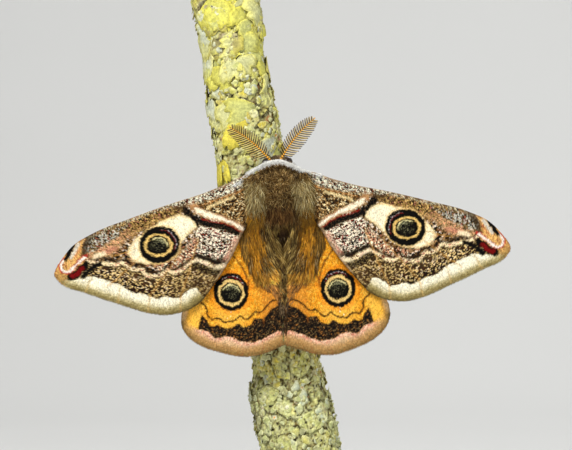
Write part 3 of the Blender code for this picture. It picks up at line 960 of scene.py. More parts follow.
@dataclass
class EyeSpot:
    """A wing's round eye mark: a black ring, a pale ring and a dark pupil."""

    centre: tuple[float, float]
    outer: tuple[float, float]
    pale_outer: tuple[float, float]
    pale_inner: tuple[float, float]
    pale: Colour
    arc_turn: float
    bow_turn: float
    shift: tuple[float, float] = (0.0, 0.0)
    slant: float = 0.0

    def lay(self, canvas: Canvas) -> None:
        """Lays the mark on a wing's pattern.

        Args:
            canvas: The pattern over the wing's points.
        """
        rim = canvas.spot(self.centre, self.outer, self.slant)
        canvas.lay(fall(0.97, 1.03, rim), Tone.BLACK)
        middle = (self.centre[0] + self.shift[0], self.centre[1] + self.shift[1])
        turn = np.arctan2(canvas.w - self.centre[1], canvas.u - self.centre[0])
        apart = np.cos(turn - self.arc_turn)
        # A bow of lilac-white scales with a red one inside it, within the black ring.
        canvas.lay(smooth(0.5, 0.7, apart) * fall(0.01, 0.03, np.abs(rim - 0.80)) * 0.8,
                   rgb(116, 22, 26))
        dots = 0.45 + 0.4 * np.sin(turn * 26)
        canvas.lay(smooth(0.6, 0.8, apart) * dots * fall(0.006, 0.026, np.abs(rim - 0.845)),
                   Tone.LILAC)
        ring = canvas.spot(middle, self.pale_outer)
        core = canvas.spot(middle, self.pale_inner)
        canvas.lay(fall(0.97, 1.03, ring), self.pale)
        canvas.fleck(fall(0.98, 1.02, ring) * smooth(0.9, 1.1, core),
                     np.array(self.pale) * 0.72, 0.25)
        canvas.lay(fall(0.96, 1.04, core), Tone.BLACK)
        canvas.fleck(fall(0.5, 0.86, core), rgb(64, 64, 50), 0.32, 0.14)
        canvas.fleck(fall(0.4, 0.8, core), rgb(112, 112, 94), 0.09)
        bow = np.cos(turn - self.bow_turn)
        crescent = smooth(0.0, 0.45, bow) * fall(0.04, 0.09, np.abs(core - 0.78))
        canvas.lay(crescent, rgb(214, 206, 158))
        canvas.fleck(smooth(0.2, 0.8, bow) * smooth(0.35, 0.5, core) * fall(0.62, 0.74, core),
                     rgb(150, 152, 126), 0.4)


# Lines of the forewing's pattern in its plan, from its foot outwards: the first cross
# line with its dark band, the second with the dark line inside it, the inner edge of the
# pale border, and the cream field round the eye mark.
ANTEMEDIAL = [(4.6, -3.9), (5.2, -3.6), (6.0, -3.0), (8.0, -2.0), (9.6, -1.4), (10.8, -0.8),
              (11.5, -0.1)]
ANTEMEDIAL_DARK = [(4.7, -4.7), (5.6, -4.25), (6.4, -3.75), (8.0, -3.05), (9.4, -2.7),
                   (10.6, -2.3), (11.4, -1.8), (12.1, -1.2), (12.7, -0.5)]
MEDIAL_WAVE = [(6.9, -7.0), (7.5, -7.4), (8.9, -7.95), (10.1, -7.3), (11.5, -6.8),
               (12.7, -7.35), (13.6, -8.0), (15.1, -8.3), (15.6, -7.8), (16.2, -8.4),
               (17.6, -8.6), (18.4, -8.1), (18.6, -7.55), (19.8, -7.6), (20.8, -6.85),
               (21.2, -6.5), (22.4, -6.8), (23.6, -6.5)]
POSTMEDIAL = [(7.4, -8.2), (9.0, -8.5), (10.3, -7.9), (11.6, -7.35), (12.8, -7.9), (13.6, -8.5),
              (15.0, -8.8), (15.7, -8.4), (16.3, -8.9), (17.8, -9.1), (18.7, -8.7),
              (19.0, -8.05), (20.2, -8.05), (21.1, -7.35), (21.6, -7.0), (22.6, -7.25),
              (24.2, -6.9), (25.6, -6.6), (26.4, -6.3)]
TERMINAL_EDGE = [(10.6, -12.6), (11.3, -12.2), (12.0, -11.0), (13.3, -11.5), (14.1, -12.2),
                 (16.0, -12.0), (18.0, -12.0), (18.6, -11.6), (21.0, -10.8), (22.0, -10.0),
                 (24.0, -9.3), (24.6, -8.9), (27.0, -8.6), (28.5, -8.9), (30.0, -8.4)]
CREAM_FIELD = [(12.3, -1.35), (13.6, -1.1), (14.9, -1.45), (16.3, -1.95), (18.0, -3.2),
               (19.5, -3.9), (20.4, -4.8), (20.8, -5.7), (20.3, -6.7), (19.4, -7.15),
               (18.0, -7.4), (16.8, -7.0), (15.6, -6.65), (14.6, -5.9), (13.7, -4.95),
               (12.6, -3.8), (11.4, -2.95), (11.6, -2.2)]
# Size of a clump of a forewing's scales, in millimetres.
GRAIN = 0.13


def fore_ground(canvas: Canvas) -> None:
    """Lays a forewing's ground and the fields of its middle.

    Args:
        canvas: The pattern over the wing's points.
    """
    u, w = canvas.u, canvas.w
    dusty = [(3, rgb(60, 46, 36)), (2, rgb(104, 80, 58)), (2, rgb(148, 120, 92)),
             (1.4, rgb(206, 190, 176)), (0.6, rgb(150, 108, 92))]
    canvas.speckle(1.0, dusty, 0.2, 1.0)
    # The middle: brown above, warmer and rosier outwards, then grey towards the tip.
    upper = canvas.field([(12.2, 0.8), (18, -0.2), (24, -2.0), (27.6, -4.0), (26.6, -6.2),
                          (23.0, -6.0), (21, -4.0), (17, -2.1), (13.2, -1.1)], 0.4)
    canvas.speckle(upper, [(3, rgb(86, 66, 42)), (3, rgb(134, 106, 64)), (2, rgb(186, 154, 100)),
                           (1, rgb(60, 42, 30)), (0.5, rgb(156, 106, 88))], GRAIN, 2.0)
    canvas.lay(upper * fall(12.5, 16.5, u) * 0.6, rgb(70, 50, 34))
    rosy = upper * smooth(18.5, 21.5, u) * smooth(-2.0, -3.4, w + 0.12 * (u - 20))
    canvas.speckle(rosy * 0.92, [(2, rgb(208, 156, 124)), (2, rgb(142, 110, 80)),
                                (2, rgb(186, 152, 116)), (1.2, rgb(98, 72, 52))], GRAIN, 3.0)
    grey = canvas.field([(20.5, -2.0), (24, -2.7), (27.0, -4.0), (27.2, -5.6), (25.4, -5.2),
                         (22.2, -3.6)], 0.3)
    canvas.speckle(grey, [(2.2, rgb(178, 176, 172)), (2.6, rgb(58, 46, 38)),
                          (0.6, rgb(140, 98, 90)), (2, rgb(124, 108, 88))], GRAIN, 4.0)
    cream = canvas.field(CREAM_FIELD, 0.16)
    canvas.lay(cream, Tone.CREAM)
    away = smooth(19.4, 21.8, u)
    canvas.speckle(cream * away, [(3, Tone.CREAM), (2, rgb(226, 186, 158)),
                                  (1.4, rgb(150, 128, 88))], GRAIN, 5.0)
    edge = fall(0.0, 0.45, inside(u, w, CREAM_FIELD))
    canvas.lay(cream * edge * 0.55, rgb(238, 200, 130))
    lower = canvas.field([(5.0, -4.7), (8, -3.5), (11, -2.7), (11.4, -3.6), (12.6, -5.3),
                          (14.4, -6.7), (12, -6.9), (9.5, -7.4), (8.6, -7.8), (6.9, -7.2)], 0.2)
    canvas.speckle(lower, [(3.1, rgb(226, 213, 194)), (3.9, rgb(32, 24, 19)),
                           (0.9, rgb(146, 86, 78)), (0.9, rgb(120, 98, 80))], GRAIN, 6.0)
    warm = canvas.field([(11.6, -4.4), (12.8, -5.6), (14.6, -6.9), (17.2, -7.6), (17.0, -8.6),
                         (14.6, -8.2), (12.4, -7.0), (11.2, -5.6)], 0.2)
    canvas.speckle(warm, [(2, rgb(196, 148, 124)), (3, rgb(108, 80, 58)), (1.4, rgb(232, 214, 186)),
                          (1.4, rgb(66, 48, 38))], GRAIN, 7.0)


def fore_foot(canvas: Canvas) -> None:
    """Lays a forewing's dark foot and the first cross line that ends it.

    Args:
        canvas: The pattern over the wing's points.
    """
    foot = canvas.field([(1.5, 3.6), (4.5, 2.9), (7.5, 1.6), (11.0, 0.5), (12.4, 0.2),
                         (11.0, -0.6), (8.0, -2.0), (6.0, -3.0), (4.9, -3.9), (2.2, -2.0)], 0.15)
    canvas.speckle(foot, [(3.8, rgb(54, 40, 26)), (3.0, rgb(104, 80, 52)), (2.3, rgb(166, 134, 92)),
                          (1.2, rgb(224, 202, 160))], GRAIN, 8.0)
    first_line = canvas.off(ANTEMEDIAL)
    canvas.lay(foot * fall(0.2, 0.9, first_line) * 0.6, rgb(40, 28, 20))
    canvas.band([(4.4, 1.75), (7.0, 0.95), (10.0, 0.05), (11.8, -0.35)], 0.2,
                rgb(170, 114, 62), 0.1, 0.7)
    canvas.band([(6.2, 0.75), (7.6, 0.3), (9.6, -0.4)], 0.3, rgb(232, 212, 166), 0.15, 0.75)
    canvas.lay(fall(0.2, 0.7, canvas.spot((10.7, -0.25), (1.1, 0.5), -0.3)) * 0.8,
               rgb(40, 30, 26))
    # The first cross line: cream above a thin red line above a black band.
    canvas.lay(fall(0.3, 1.0, canvas.spot((12.0, 0.35), (1.1, 0.6))) * 0.6, rgb(178, 134, 96))
    canvas.lay(fall(0.3, 1.0, canvas.spot((13.2, 0.0), (1.5, 0.55))) * 0.8, rgb(66, 48, 34))
    canvas.band(ANTEMEDIAL[2:], 0.84, rgb(182, 138, 98), 0.24, 0.75)
    canvas.band([*ANTEMEDIAL[:-1], (11.3, -0.42)], 0.34, rgb(246, 234, 218), 0.18)
    canvas.band(ANTEMEDIAL[3:-1], 0.56, rgb(246, 236, 216), 0.2)
    canvas.band([(9.0, -1.62), (10.2, -1.14), (11.0, -0.7)], 0.76, rgb(246, 236, 212), 0.2)
    canvas.fleck(smooth(0.1, 0.26, first_line) * fall(0.4, 0.5, first_line),
                 rgb(190, 144, 112), 0.3)
    canvas.band(ANTEMEDIAL_DARK, 0.8, Tone.BLACK, 0.14)
    canvas.fleck(fall(0.2, 0.4, canvas.off(ANTEMEDIAL_DARK)), rgb(84, 66, 52), 0.1)
    canvas.band([(x - 0.06, z + 0.42) for x, z in ANTEMEDIAL_DARK[:-3]], 0.17, Tone.RED, 0.08,
                0.9)


def fore_border(canvas: Canvas) -> None:
    """Lays what lies beyond the second cross line, a dark band and the pale border,
    and then that line itself.

    Args:
        canvas: The pattern over the wing's points.
    """
    u, w = canvas.u, canvas.w
    rim = canvas.off(FORE.rim)
    drift = 0.5 + 0.5 * clouds(canvas.plain, 1.6, 2.0)
    dark = canvas.field([*curve_of(POSTMEDIAL, 40), (27.6, -6.6), (28.8, -8.4),
                         *curve_of(TERMINAL_EDGE, 40)[::-1], (9.0, -10.2)], 0.1)
    canvas.speckle(dark, [(4.6, rgb(40, 30, 22)), (2.4, rgb(88, 66, 42)), (2.0, rgb(216, 188, 132)),
                          (0.6, rgb(232, 200, 166))], GRAIN, 9.0)
    fade = canvas.off(TERMINAL_EDGE)
    canvas.lay(dark * fall(0.1, 0.8, fade) * 0.55, rgb(42, 30, 22))
    canvas.lay(dark * drift * smooth(0.7, 1.6, fade) * 0.22, rgb(150, 122, 84))
    canvas.lay(dark * fall(13.5, 16.5, u) * smooth(-8.2, -10.2, w) * 0.35, rgb(96, 74, 48))
    border = canvas.field([*curve_of(TERMINAL_EDGE, 60), (31.4, -8.2), (31.2, -9.4),
                           (27.4, -11.4), (22.6, -13.2), (18.6, -14.7), (16.2, -15.1),
                           (14.2, -14.8), (12.4, -14.2), (10.8, -13.2)], 0.08)
    canvas.lay(border, rgb(247, 241, 220))
    canvas.lay(border * fall(0.7, 1.9, rim) * 0.85, rgb(192, 180, 134))
    canvas.lay(border * fall(0.3, 1.4, rim) * 0.88, rgb(124, 111, 68))
    canvas.lay(border * fall(0.0, 0.35, rim) * 0.85, rgb(88, 76, 46))
    canvas.fleck(border * fall(0.4, 1.9, rim), rgb(126, 112, 74), 0.25)
    for foot_at, tip_at in [((14.1, -12.2), (14.3, -14.2)), ((18.2, -11.9), (18.6, -13.9)),
                            ((22.0, -10.1), (22.6, -12.4)), ((25.9, -8.8), (26.9, -10.7)),
                            ((28.9, -8.8), (29.8, -9.4))]:
        canvas.band([foot_at, tip_at], 0.2, rgb(190, 160, 108), 0.12, 0.75)
    canvas.band([(x, z - 0.36) for x, z in POSTMEDIAL[2:]], 0.3, rgb(48, 36, 28), 0.14, 0.8)
    pale = fall(0.1, 0.36, canvas.off(POSTMEDIAL))
    canvas.speckle(pale * 0.9, [(5, rgb(240, 220, 182)), (1.5, rgb(150, 116, 80)),
                                (0.6, rgb(222, 164, 144))], GRAIN, 12.0)
    canvas.band([(7.3, -8.3), (9.2, -8.6)], 0.66, rgb(224, 212, 190), 0.3, 0.6)
    canvas.band([(10.3, -7.9), (11.6, -7.4)], 0.4, rgb(236, 218, 202), 0.2, 0.5)
    canvas.band(MEDIAL_WAVE, 0.3, rgb(30, 21, 17), 0.12, 0.85)
    canvas.band([(6.8, -6.95), (7.6, -7.45), (8.4, -7.5), (8.9, -7.85), (9.5, -7.45),
                 (10.4, -7.3), (11.3, -6.85)], 0.56, rgb(14, 10, 9), 0.16, 0.92)
    canvas.band([(8.2, -9.2), (9.6, -9.1), (10.8, -8.6), (11.8, -8.1)], 0.9, rgb(15, 11, 8), 0.35,
                0.85)
    canvas.band([(10.8, -7.0), (11.8, -6.7)], 0.5, rgb(34, 26, 22), 0.2, 0.8)


def fore_tip(canvas: Canvas) -> None:
    """Lays a forewing's sandy tip, with a black oval, a white patch, a dark red patch
    and a pale hook.

    Args:
        canvas: The pattern over the wing's points.
    """
    u, w = canvas.u, canvas.w
    tip = canvas.field([(26.6, -3.6), (28.4, -4.0), (30.2, -5.8), (31.2, -7.6), (31.4, -8.8),
                        (29.4, -8.8), (28.2, -7.6), (26.8, -6.6)], 0.2)
    canvas.speckle(tip, [(3, rgb(222, 176, 112)), (2, rgb(204, 156, 96)), (1, rgb(180, 128, 84))],
                   0.14, 10.0)
    canvas.lay(tip * smooth(-7.4, -8.8, w) * 0.6, rgb(150, 128, 82))
    canvas.lay(fall(0.2, 0.6, to_line(u, w, [(25.3, -2.75), (26.4, -4.3), (26.7, -5.5)]))
               * 0.85, rgb(54, 42, 32))
    canvas.band([(22.6, -6.4), (24.0, -6.2), (25.4, -6.3), (26.2, -5.9)], 0.22,
                rgb(52, 42, 38), 0.1, 0.85)
    canvas.band([(24.6, -6.9), (25.6, -7.4), (26.6, -8.1), (27.0, -8.5)], 0.62, Tone.BLACK, 0.14)
    canvas.band([(26.6, -7.0), (27.3, -7.6), (28.0, -8.1), (28.7, -8.5)], 1.0, Tone.BLACK, 0.12)
    canvas.band([(27.0, -7.4), (27.7, -8.0), (28.4, -8.35)], 0.6, rgb(112, 10, 14), 0.14)
    canvas.band([(26.4, -5.7), (26.9, -6.1), (28.0, -7.0), (29.0, -7.8), (29.8, -7.5),
                 (30.0, -6.7), (29.3, -5.9)], 0.52, rgb(176, 44, 44), 0.08, 0.85)
    canvas.band([(26.6, -5.9), (28.0, -7.0), (29.0, -7.7), (29.7, -7.4), (29.85, -6.7),
                 (29.25, -6.0)], 0.32, rgb(240, 228, 222), 0.08)
    canvas.band([(27.3, -4.1), (27.8, -4.8), (28.4, -5.7)], 0.5, rgb(206, 208, 208), 0.14, 0.8)
    canvas.band([(27.1, -4.7), (27.9, -5.8)], 0.16, rgb(172, 44, 44), 0.08, 0.7)
    canvas.band([(28.0, -4.15), (28.6, -5.0), (29.1, -6.05)], 0.56, Tone.BLACK, 0.1)
    canvas.band([(22.4, -5.0), (24.0, -5.45)], 0.6, rgb(198, 132, 118), 0.3, 0.65)
    canvas.band([(23.9, -5.6), (25.2, -5.95)], 0.6, rgb(242, 224, 194), 0.18, 0.9)


def fore_edges(canvas: Canvas) -> None:
    """Lays a forewing's veins and edges: in front grey-white and black dust, thinner
    outwards and pinkish at its rim, and behind a rosy margin.

    Args:
        canvas: The pattern over the wing's points.
    """
    u, w = canvas.u, canvas.w
    costa, inner = canvas.off(FORE.front), canvas.off(FORE.back)
    strip = 1.5 - 0.95 * smooth(6, 16, u)
    dust = fall(strip - 0.25, strip + 0.25, costa) * fall(24.0, 27.0, u)
    dust = dust * (1 - 0.35 * smooth(12.0, 17.0, u))
    canvas.lay(fall(2.8, 4.0, u), rgb(112, 86, 50))
    dust = dust * smooth(2.8, 4.0, u)
    canvas.speckle(dust, [(3.3, rgb(208, 206, 190)), (3.2, rgb(50, 42, 36)),
                          (1.4, rgb(150, 124, 108)), (0.6, rgb(112, 80, 66))], GRAIN, 11.0)
    canvas.lay(dust * fall(0.12, 0.32, costa) * 0.75, rgb(168, 146, 130))
    for line in [[(13.6, -6.0), (14.6, -7.2), (16.0, -9.0), (18.6, -12.2)],
                 [(11.2, -4.4), (12.6, -8.4), (14.2, -12.4)],
                 [(19.6, -5.2), (23.0, -6.2)],
                 [(18.9, -6.2), (21.0, -8.0), (24.0, -10.2)]]:
        canvas.band(line, 0.16, rgb(214, 162, 92), 0.09, 0.5)
    margin = fall(0.5, 1.1, inner) * smooth(-4.2, -5.0, w) * smooth(-8.0, -7.2, w)
    canvas.speckle(margin * 0.75, [(1, rgb(120, 76, 70)), (2, rgb(196, 140, 128)),
                                   (1, rgb(226, 196, 178))], GRAIN, 13.0)
    canvas.lay(fall(0.1, 0.34, inner) * smooth(-3.0, -4.5, w) * smooth(-10.6, -9.4, w)
               * 0.7, rgb(198, 168, 140))
    canvas.band([(13.0, -1.1), (15.2, -1.5), (18.2, -2.2), (20.0, -3.4)], 0.12,
                rgb(232, 190, 120), 0.1, 0.4)


def fore_pattern(canvas: Canvas, centre: tuple[float, float]) -> None:
    """Lays a forewing's pattern from its ground up to its eye mark.

    Args:
        canvas: The pattern over the wing's points.
        centre: The eye mark's middle in the plan.
    """
    for lay in (fore_ground, fore_foot, fore_border, fore_tip, fore_edges):
        lay(canvas)
    ring = canvas.spot(centre, (2.72, 2.39), -0.35)
    canvas.lay(fall(0.02, 0.08, np.abs(ring - 1.04)) * 0.7, rgb(240, 206, 146))
    EyeSpot(centre, (2.74, 2.44), (1.93, 1.54), (1.55, 1.24), rgb(224, 190, 120),
            math.radians(150), math.radians(115), (0.13, -0.08), -0.25).lay(canvas)


# The hindwing's waved line, and the two edges of the dark band below it.
HIND_WAVE = [(0.4, -13.2), (2.1, -13.8), (3.0, -14.8), (3.6, -15.1), (4.0, -14.9),
             (4.6, -15.5), (5.4, -15.95), (6.1, -15.4), (6.5, -15.7), (7.3, -16.1),
             (8.2, -16.2), (9.1, -15.6), (10.0, -15.8), (10.4, -15.3), (10.6, -14.3),
             (10.8, -13.8), (11.2, -13.5), (11.7, -12.2), (12.1, -11.0)]
HIND_BAND_TOP = [(0.2, -13.9), (2.1, -14.9), (2.9, -15.8), (4.1, -15.9), (4.8, -16.6),
                 (5.7, -17.0), (6.4, -16.5), (7.3, -16.95), (8.2, -17.1), (9.1, -16.6),
                 (10.0, -16.7), (10.6, -15.95), (11.25, -15.1)]
HIND_BAND_LOW = [(11.95, -17.1), (10.6, -17.55), (9.7, -18.4), (8.4, -18.3), (7.4, -18.35),
                 (6.4, -18.95), (3.9, -19.0), (2.8, -18.55), (1.4, -17.8), (0.2, -17.6)]


def hind_pattern(canvas: Canvas, centre: tuple[float, float]) -> None:
    """Lays a hindwing's pattern from its orange ground up to its eye mark.

    Args:
        canvas: The pattern over the wing's points.
        centre: The eye mark's middle in the plan.
    """
    u, w = canvas.u, canvas.w
    rim = canvas.off(HIND.rim)
    cloud = 0.5 + 0.5 * clouds(canvas.plain, 1.8, 4.0)
    canvas.speckle(1.0, [(3, Tone.ORANGE), (2, rgb(234, 168, 50)), (1.4, rgb(214, 140, 36)),
                         (0.8, Tone.GOLD)], 0.17, 1.0)
    yellow = smooth(10.0, 12.6, u) + 0.6 * fall(1.2, 3.4, np.hypot(u - 7.2, w + 15.2))
    canvas.lay(np.clip(yellow, 0, 1) * 0.7, rgb(250, 204, 96))
    canvas.fleck(np.clip(yellow, 0, 1), rgb(236, 170, 60), 0.3, 0.3)
    reddish = fall(0.1, 0.6, np.hypot(u - centre[0], w - centre[1]) - 2.7)
    canvas.lay(reddish * 0.45, rgb(238, 134, 28))
    canvas.lay(fall(1.6, 4.2, u) * 0.55 * cloud, rgb(178, 118, 50))
    canvas.lay(fall(3.2, 5.0, u) * smooth(-13.0, -10.6, w) * 0.75, rgb(158, 108, 44))
    canvas.lay(fall(2.0, 4.6, u) * smooth(-10.8, -12.4, w) * 0.6, rgb(196, 126, 52))
    canvas.lay(fall(0.2, 1.4, u) * 0.6, rgb(110, 70, 38))
    # The dark waved line, then the dark band with its tooth.
    canvas.band(HIND_WAVE, 0.24, rgb(50, 30, 16), 0.08, 0.95)
    canvas.band([(7.2, -6.4), (6.5, -7.3), (5.7, -8.4), (5.1, -9.7), (4.75, -10.9),
                 (4.9, -12.0)], 0.26, rgb(96, 54, 24), 0.14, 0.9)
    dark = canvas.field([*curve_of(HIND_BAND_TOP, 50), *curve_of(HIND_BAND_LOW, 50)], 0.1)
    canvas.speckle(dark, [(6, rgb(36, 26, 19)), (3, rgb(58, 43, 30)), (0.5, rgb(128, 86, 46)),
                          (1.2, rgb(98, 80, 56))], 0.12, 2.0)
    fold = fall(0.2, 0.6, np.abs(canvas.spot((6.6, -18.0), (3.2, 0.7)) - 0.5))
    canvas.fleck(dark * fold, rgb(134, 92, 50), 0.14, 0.2)
    border = canvas.field([*curve_of(HIND_BAND_LOW, 50), (-0.6, -17.0), (-0.6, -20.6),
                           (3.6, -21.8), (6.2, -22.0), (9.4, -21.4), (12.2, -20.2),
                           (14.0, -18.6), (14.9, -16.6), (14.9, -15.0), (13.4, -15.6)], 0.1)
    apex = smooth(11.4, 12.4, u) * smooth(-17.8, -16.4, w)
    canvas.lay(apex * (1 - dark), rgb(246, 186, 74))
    border = border * (1 - 0.9 * apex)
    canvas.lay(border, rgb(218, 184, 150))
    canvas.speckle(border * fall(0.1, 0.9, canvas.off(HIND_BAND_LOW)),
                   [(3, rgb(230, 188, 168)), (2, rgb(220, 162, 146)), (1.2, rgb(204, 140, 126))],
                   0.16, 3.0)
    rimmed = np.clip(border + apex, 0, 1)
    canvas.lay(border * fall(1.0, 1.9, rim) * 0.85, rgb(180, 140, 92))
    canvas.lay(apex * fall(0.2, 1.2, rim) * 0.7, rgb(206, 142, 78))
    canvas.lay(rimmed * fall(0.25, 1.25, rim) * 0.85, rgb(132, 110, 70))
    canvas.lay(rimmed * fall(0.0, 0.45, rim) * 0.85, rgb(78, 66, 42))
    canvas.fleck(border * fall(0.3, 1.9, rim), rgb(160, 116, 72), 0.25)
    for tip_at in [(0.8, -20.0), (3.4, -21.2), (6.2, -21.3)]:
        canvas.band([(tip_at[0] * 0.94, tip_at[1] + 2.0), tip_at], 0.14, rgb(170, 100, 80), 0.1,
                    0.35)
    # The leading edge under the forewing, paler.
    front = canvas.off(HIND.front)
    canvas.lay(fall(0.3, 1.0, front) * 0.7, rgb(226, 190, 150))
    for line in [[(3.0, -2.6), (6.4, -8.0), (8.6, -14.0)],
                 [(2.6, -3.4), (4.4, -10.0), (5.5, -16.0)],
                 [(2.2, -4.0), (2.6, -12.0), (3.0, -16.6)]]:
        canvas.band(line, 0.14, rgb(190, 112, 36), 0.09, 0.3)
    EyeSpot(centre, (2.36, 2.60), (1.80, 1.88), (1.47, 1.42), rgb(232, 200, 134),
            math.radians(104), math.radians(98), (0.0, -0.12)).lay(canvas)
    for dot in [(7.3, -14.85), (7.35, -15.4), (7.8, -15.8)]:
        canvas.lay(fall(0.6, 1.2, canvas.spot(dot, (0.07, 0.1))), rgb(252, 246, 232))


@dataclass
class Wing:
    """A wing's scaled membrane with raised veins, and the fringe along its rim."""

    shape: WingShape
    centre: tuple[float, float]
    rows: int
    columns: int
    seed: int
    slot: str
    proud: float = 0.2
    thick: float = 0.2
    vein: float = 0.1
    fringe_steps: tuple[int, int] = (430, 330)
    finish: ScaledWing = ScaledWing("wing_scales")

    @property
    def node(self) -> str:
        """The solid that this wing stands for."""
        return f"{self.shape.plan.name}_{self.shape.side.word}"

    def pattern(self, u: Array, w: Array, seed: int) -> Array:
        """The wing's colours at places in its plan.

        Args:
            u: Places across.
            w: Places along.
            seed: Seed of the flecks.

        Returns:
            Rows of linear red, green and blue.
        """
        canvas = Canvas(u, w, seed)
        lay = fore_pattern if self.shape.plan is FORE else hind_pattern
        lay(canvas, self.centre)
        return canvas.warmed()

    def ridges(self, shares: Array, columns: Array) -> Array:
        """Height of the veins over the membrane: a narrow hump along each, lower towards
        the rim, with a slight valley between.

        Args:
            shares: Shares of the way from root to rim.
            columns: Shares of the way from front edge to back edge, of the same shape.

        Returns:
            Heights in millimetres.
        """
        height = np.zeros(shares.shape)
        for column, first in self.shape.plan.veins:
            width = 0.012 + 0.004 * (1 - shares)
            hump = np.exp(-((columns - column) / width) ** 2)
            begins = smooth(first, first + 0.06, shares) if first else 1.0
            height += hump * begins * (0.45 + 0.55 * (1 - shares))
        folds = np.cos(columns * 2 * np.pi * 7) * smooth(0.2, 0.7, shares)
        return self.vein * np.minimum(height, 1.0) - 0.035 * folds

    def build(self) -> bpy.types.Mesh:
        """A closed thin shell: the front sheet from root to rim, then the back sheet
        returning, joined round the edges.

        Returns:
            The mesh with its pattern.
        """
        # The shell ends a little inside the solid's four borders.
        shares, columns = np.meshgrid(0.004 + 0.985 * np.linspace(0, 1, self.rows),
                                      0.012 + 0.976 * np.linspace(0, 1, self.columns),
                                      indexing="ij")
        middle = self.shape.surface(shares, columns)
        u, w = self.shape.flat(shares, columns)
        rng = np.random.default_rng(self.seed)
        ripple = 0.02 * clouds(np.stack([u, w], -1), 1.3, 8.0)
        raised = self.ridges(shares, columns) + ripple
        slim = smooth(0.0, 0.03, 1 - shares)
        front, back = middle.copy(), middle.copy()
        front[..., 1] -= self.proud * (0.35 + 0.65 * slim) + raised * slim
        front[..., 1] += rng.normal(0, 0.004, u.shape)
        back[..., 1] += self.thick - self.proud * 0.65 * slim - 0.5 * raised * slim
        verts = np.concatenate([front.reshape(-1, 3), back.reshape(-1, 3)])
        sheet = grid_faces(self.rows, self.columns)
        total = self.rows * self.columns
        ring = border_of(self.rows, self.columns)
        ahead = np.roll(ring, -1)
        wall = np.stack([ring, ahead, ahead + total, ring + total], -1)
        # The left wing is the right one's mirror image, so its faces turn the other way.
        if self.shape.side is Side.LEFT:
            faces = np.concatenate([sheet[:, ::-1], sheet + total, wall])
        else:
            faces = np.concatenate([sheet, sheet[:, ::-1] + total, wall[:, ::-1]])
        mesh = fast_mesh(self.node + "_scales", POSE.place(verts), faces)
        face = self.pattern(u, w, self.seed).reshape(-1, 3)
        under = self.pattern(u, w, self.seed + 50).reshape(-1, 3)
        under = under * 0.62 + np.array(rgb(196, 178, 162)) * 0.38
        give_colour(mesh, np.concatenate([face, under]))
        return mesh

    def fringe(self) -> bpy.types.Mesh:
        """Short scale hairs along the rim and the back edge, in three rows.

        Returns:
            The fringe's mesh.
        """
        rng = np.random.default_rng(self.seed + 9)
        fore = self.shape.plan is FORE
        steps = np.linspace(0.01, 0.99, self.fringe_steps[0 if fore else 1])
        shares, columns, inward = [], [], []
        for row, deep in enumerate([0.985, 0.975, 0.965]):
            jitter = np.clip(steps + rng.normal(0, 0.001, len(steps)), 0, 1)
            shares.append(np.full(len(steps), deep))
            columns.append(jitter)
            inward.append(np.tile([0.02, 0.0], (len(steps), 1)))
            if fore:
                shares.append(jitter)
                columns.append(np.full(len(steps), 0.985 - 0.004 * row))
                inward.append(np.tile([0.0, 0.02], (len(steps), 1)))
        share, column = np.concatenate(shares), np.concatenate(columns)
        step = np.concatenate(inward)
        root = self.shape.surface(share, column) + [0, -0.12, 0]
        ahead = unit(root - [0, -0.12, 0]
                     - self.shape.surface(share - step[:, 0], column - step[:, 1]))
        ink = self.pattern(*self.shape.flat(share * 0.985, column), self.seed + 3)
        count = len(root)
        ahead = unit(ahead + rng.normal(0, 0.14, ahead.shape) * [1, 0.4, 1])
        ink = ink * rng.uniform(0.7, 1.05, (count, 1))
        return Strands(
            roots=root, ahead=ahead, lean=unit(ahead + rng.normal(0, 0.15, ahead.shape)),
            length=rng.uniform(0.2, 0.36, count), width=rng.uniform(0.08, 0.13, count),
            root_colour=ink, tip_colour=ink * 0.8,
            unwrap=rng.uniform(0, 0.99, (count, 2)), flat=0.2,
        ).build(self.node + "_fringe")

    def dress(self) -> None:
        """Shows the membrane with the wing's finish, and its fringe with fringe hair."""
        finish = material_of(self.finish)
        Piece(self.node + "_scales", self.build(), finish, self.slot, (self.node,)).show()
        Piece(self.node + "_fringe", self.fringe(), material_of(Hair("fringe_hair")),
              self.slot).show()


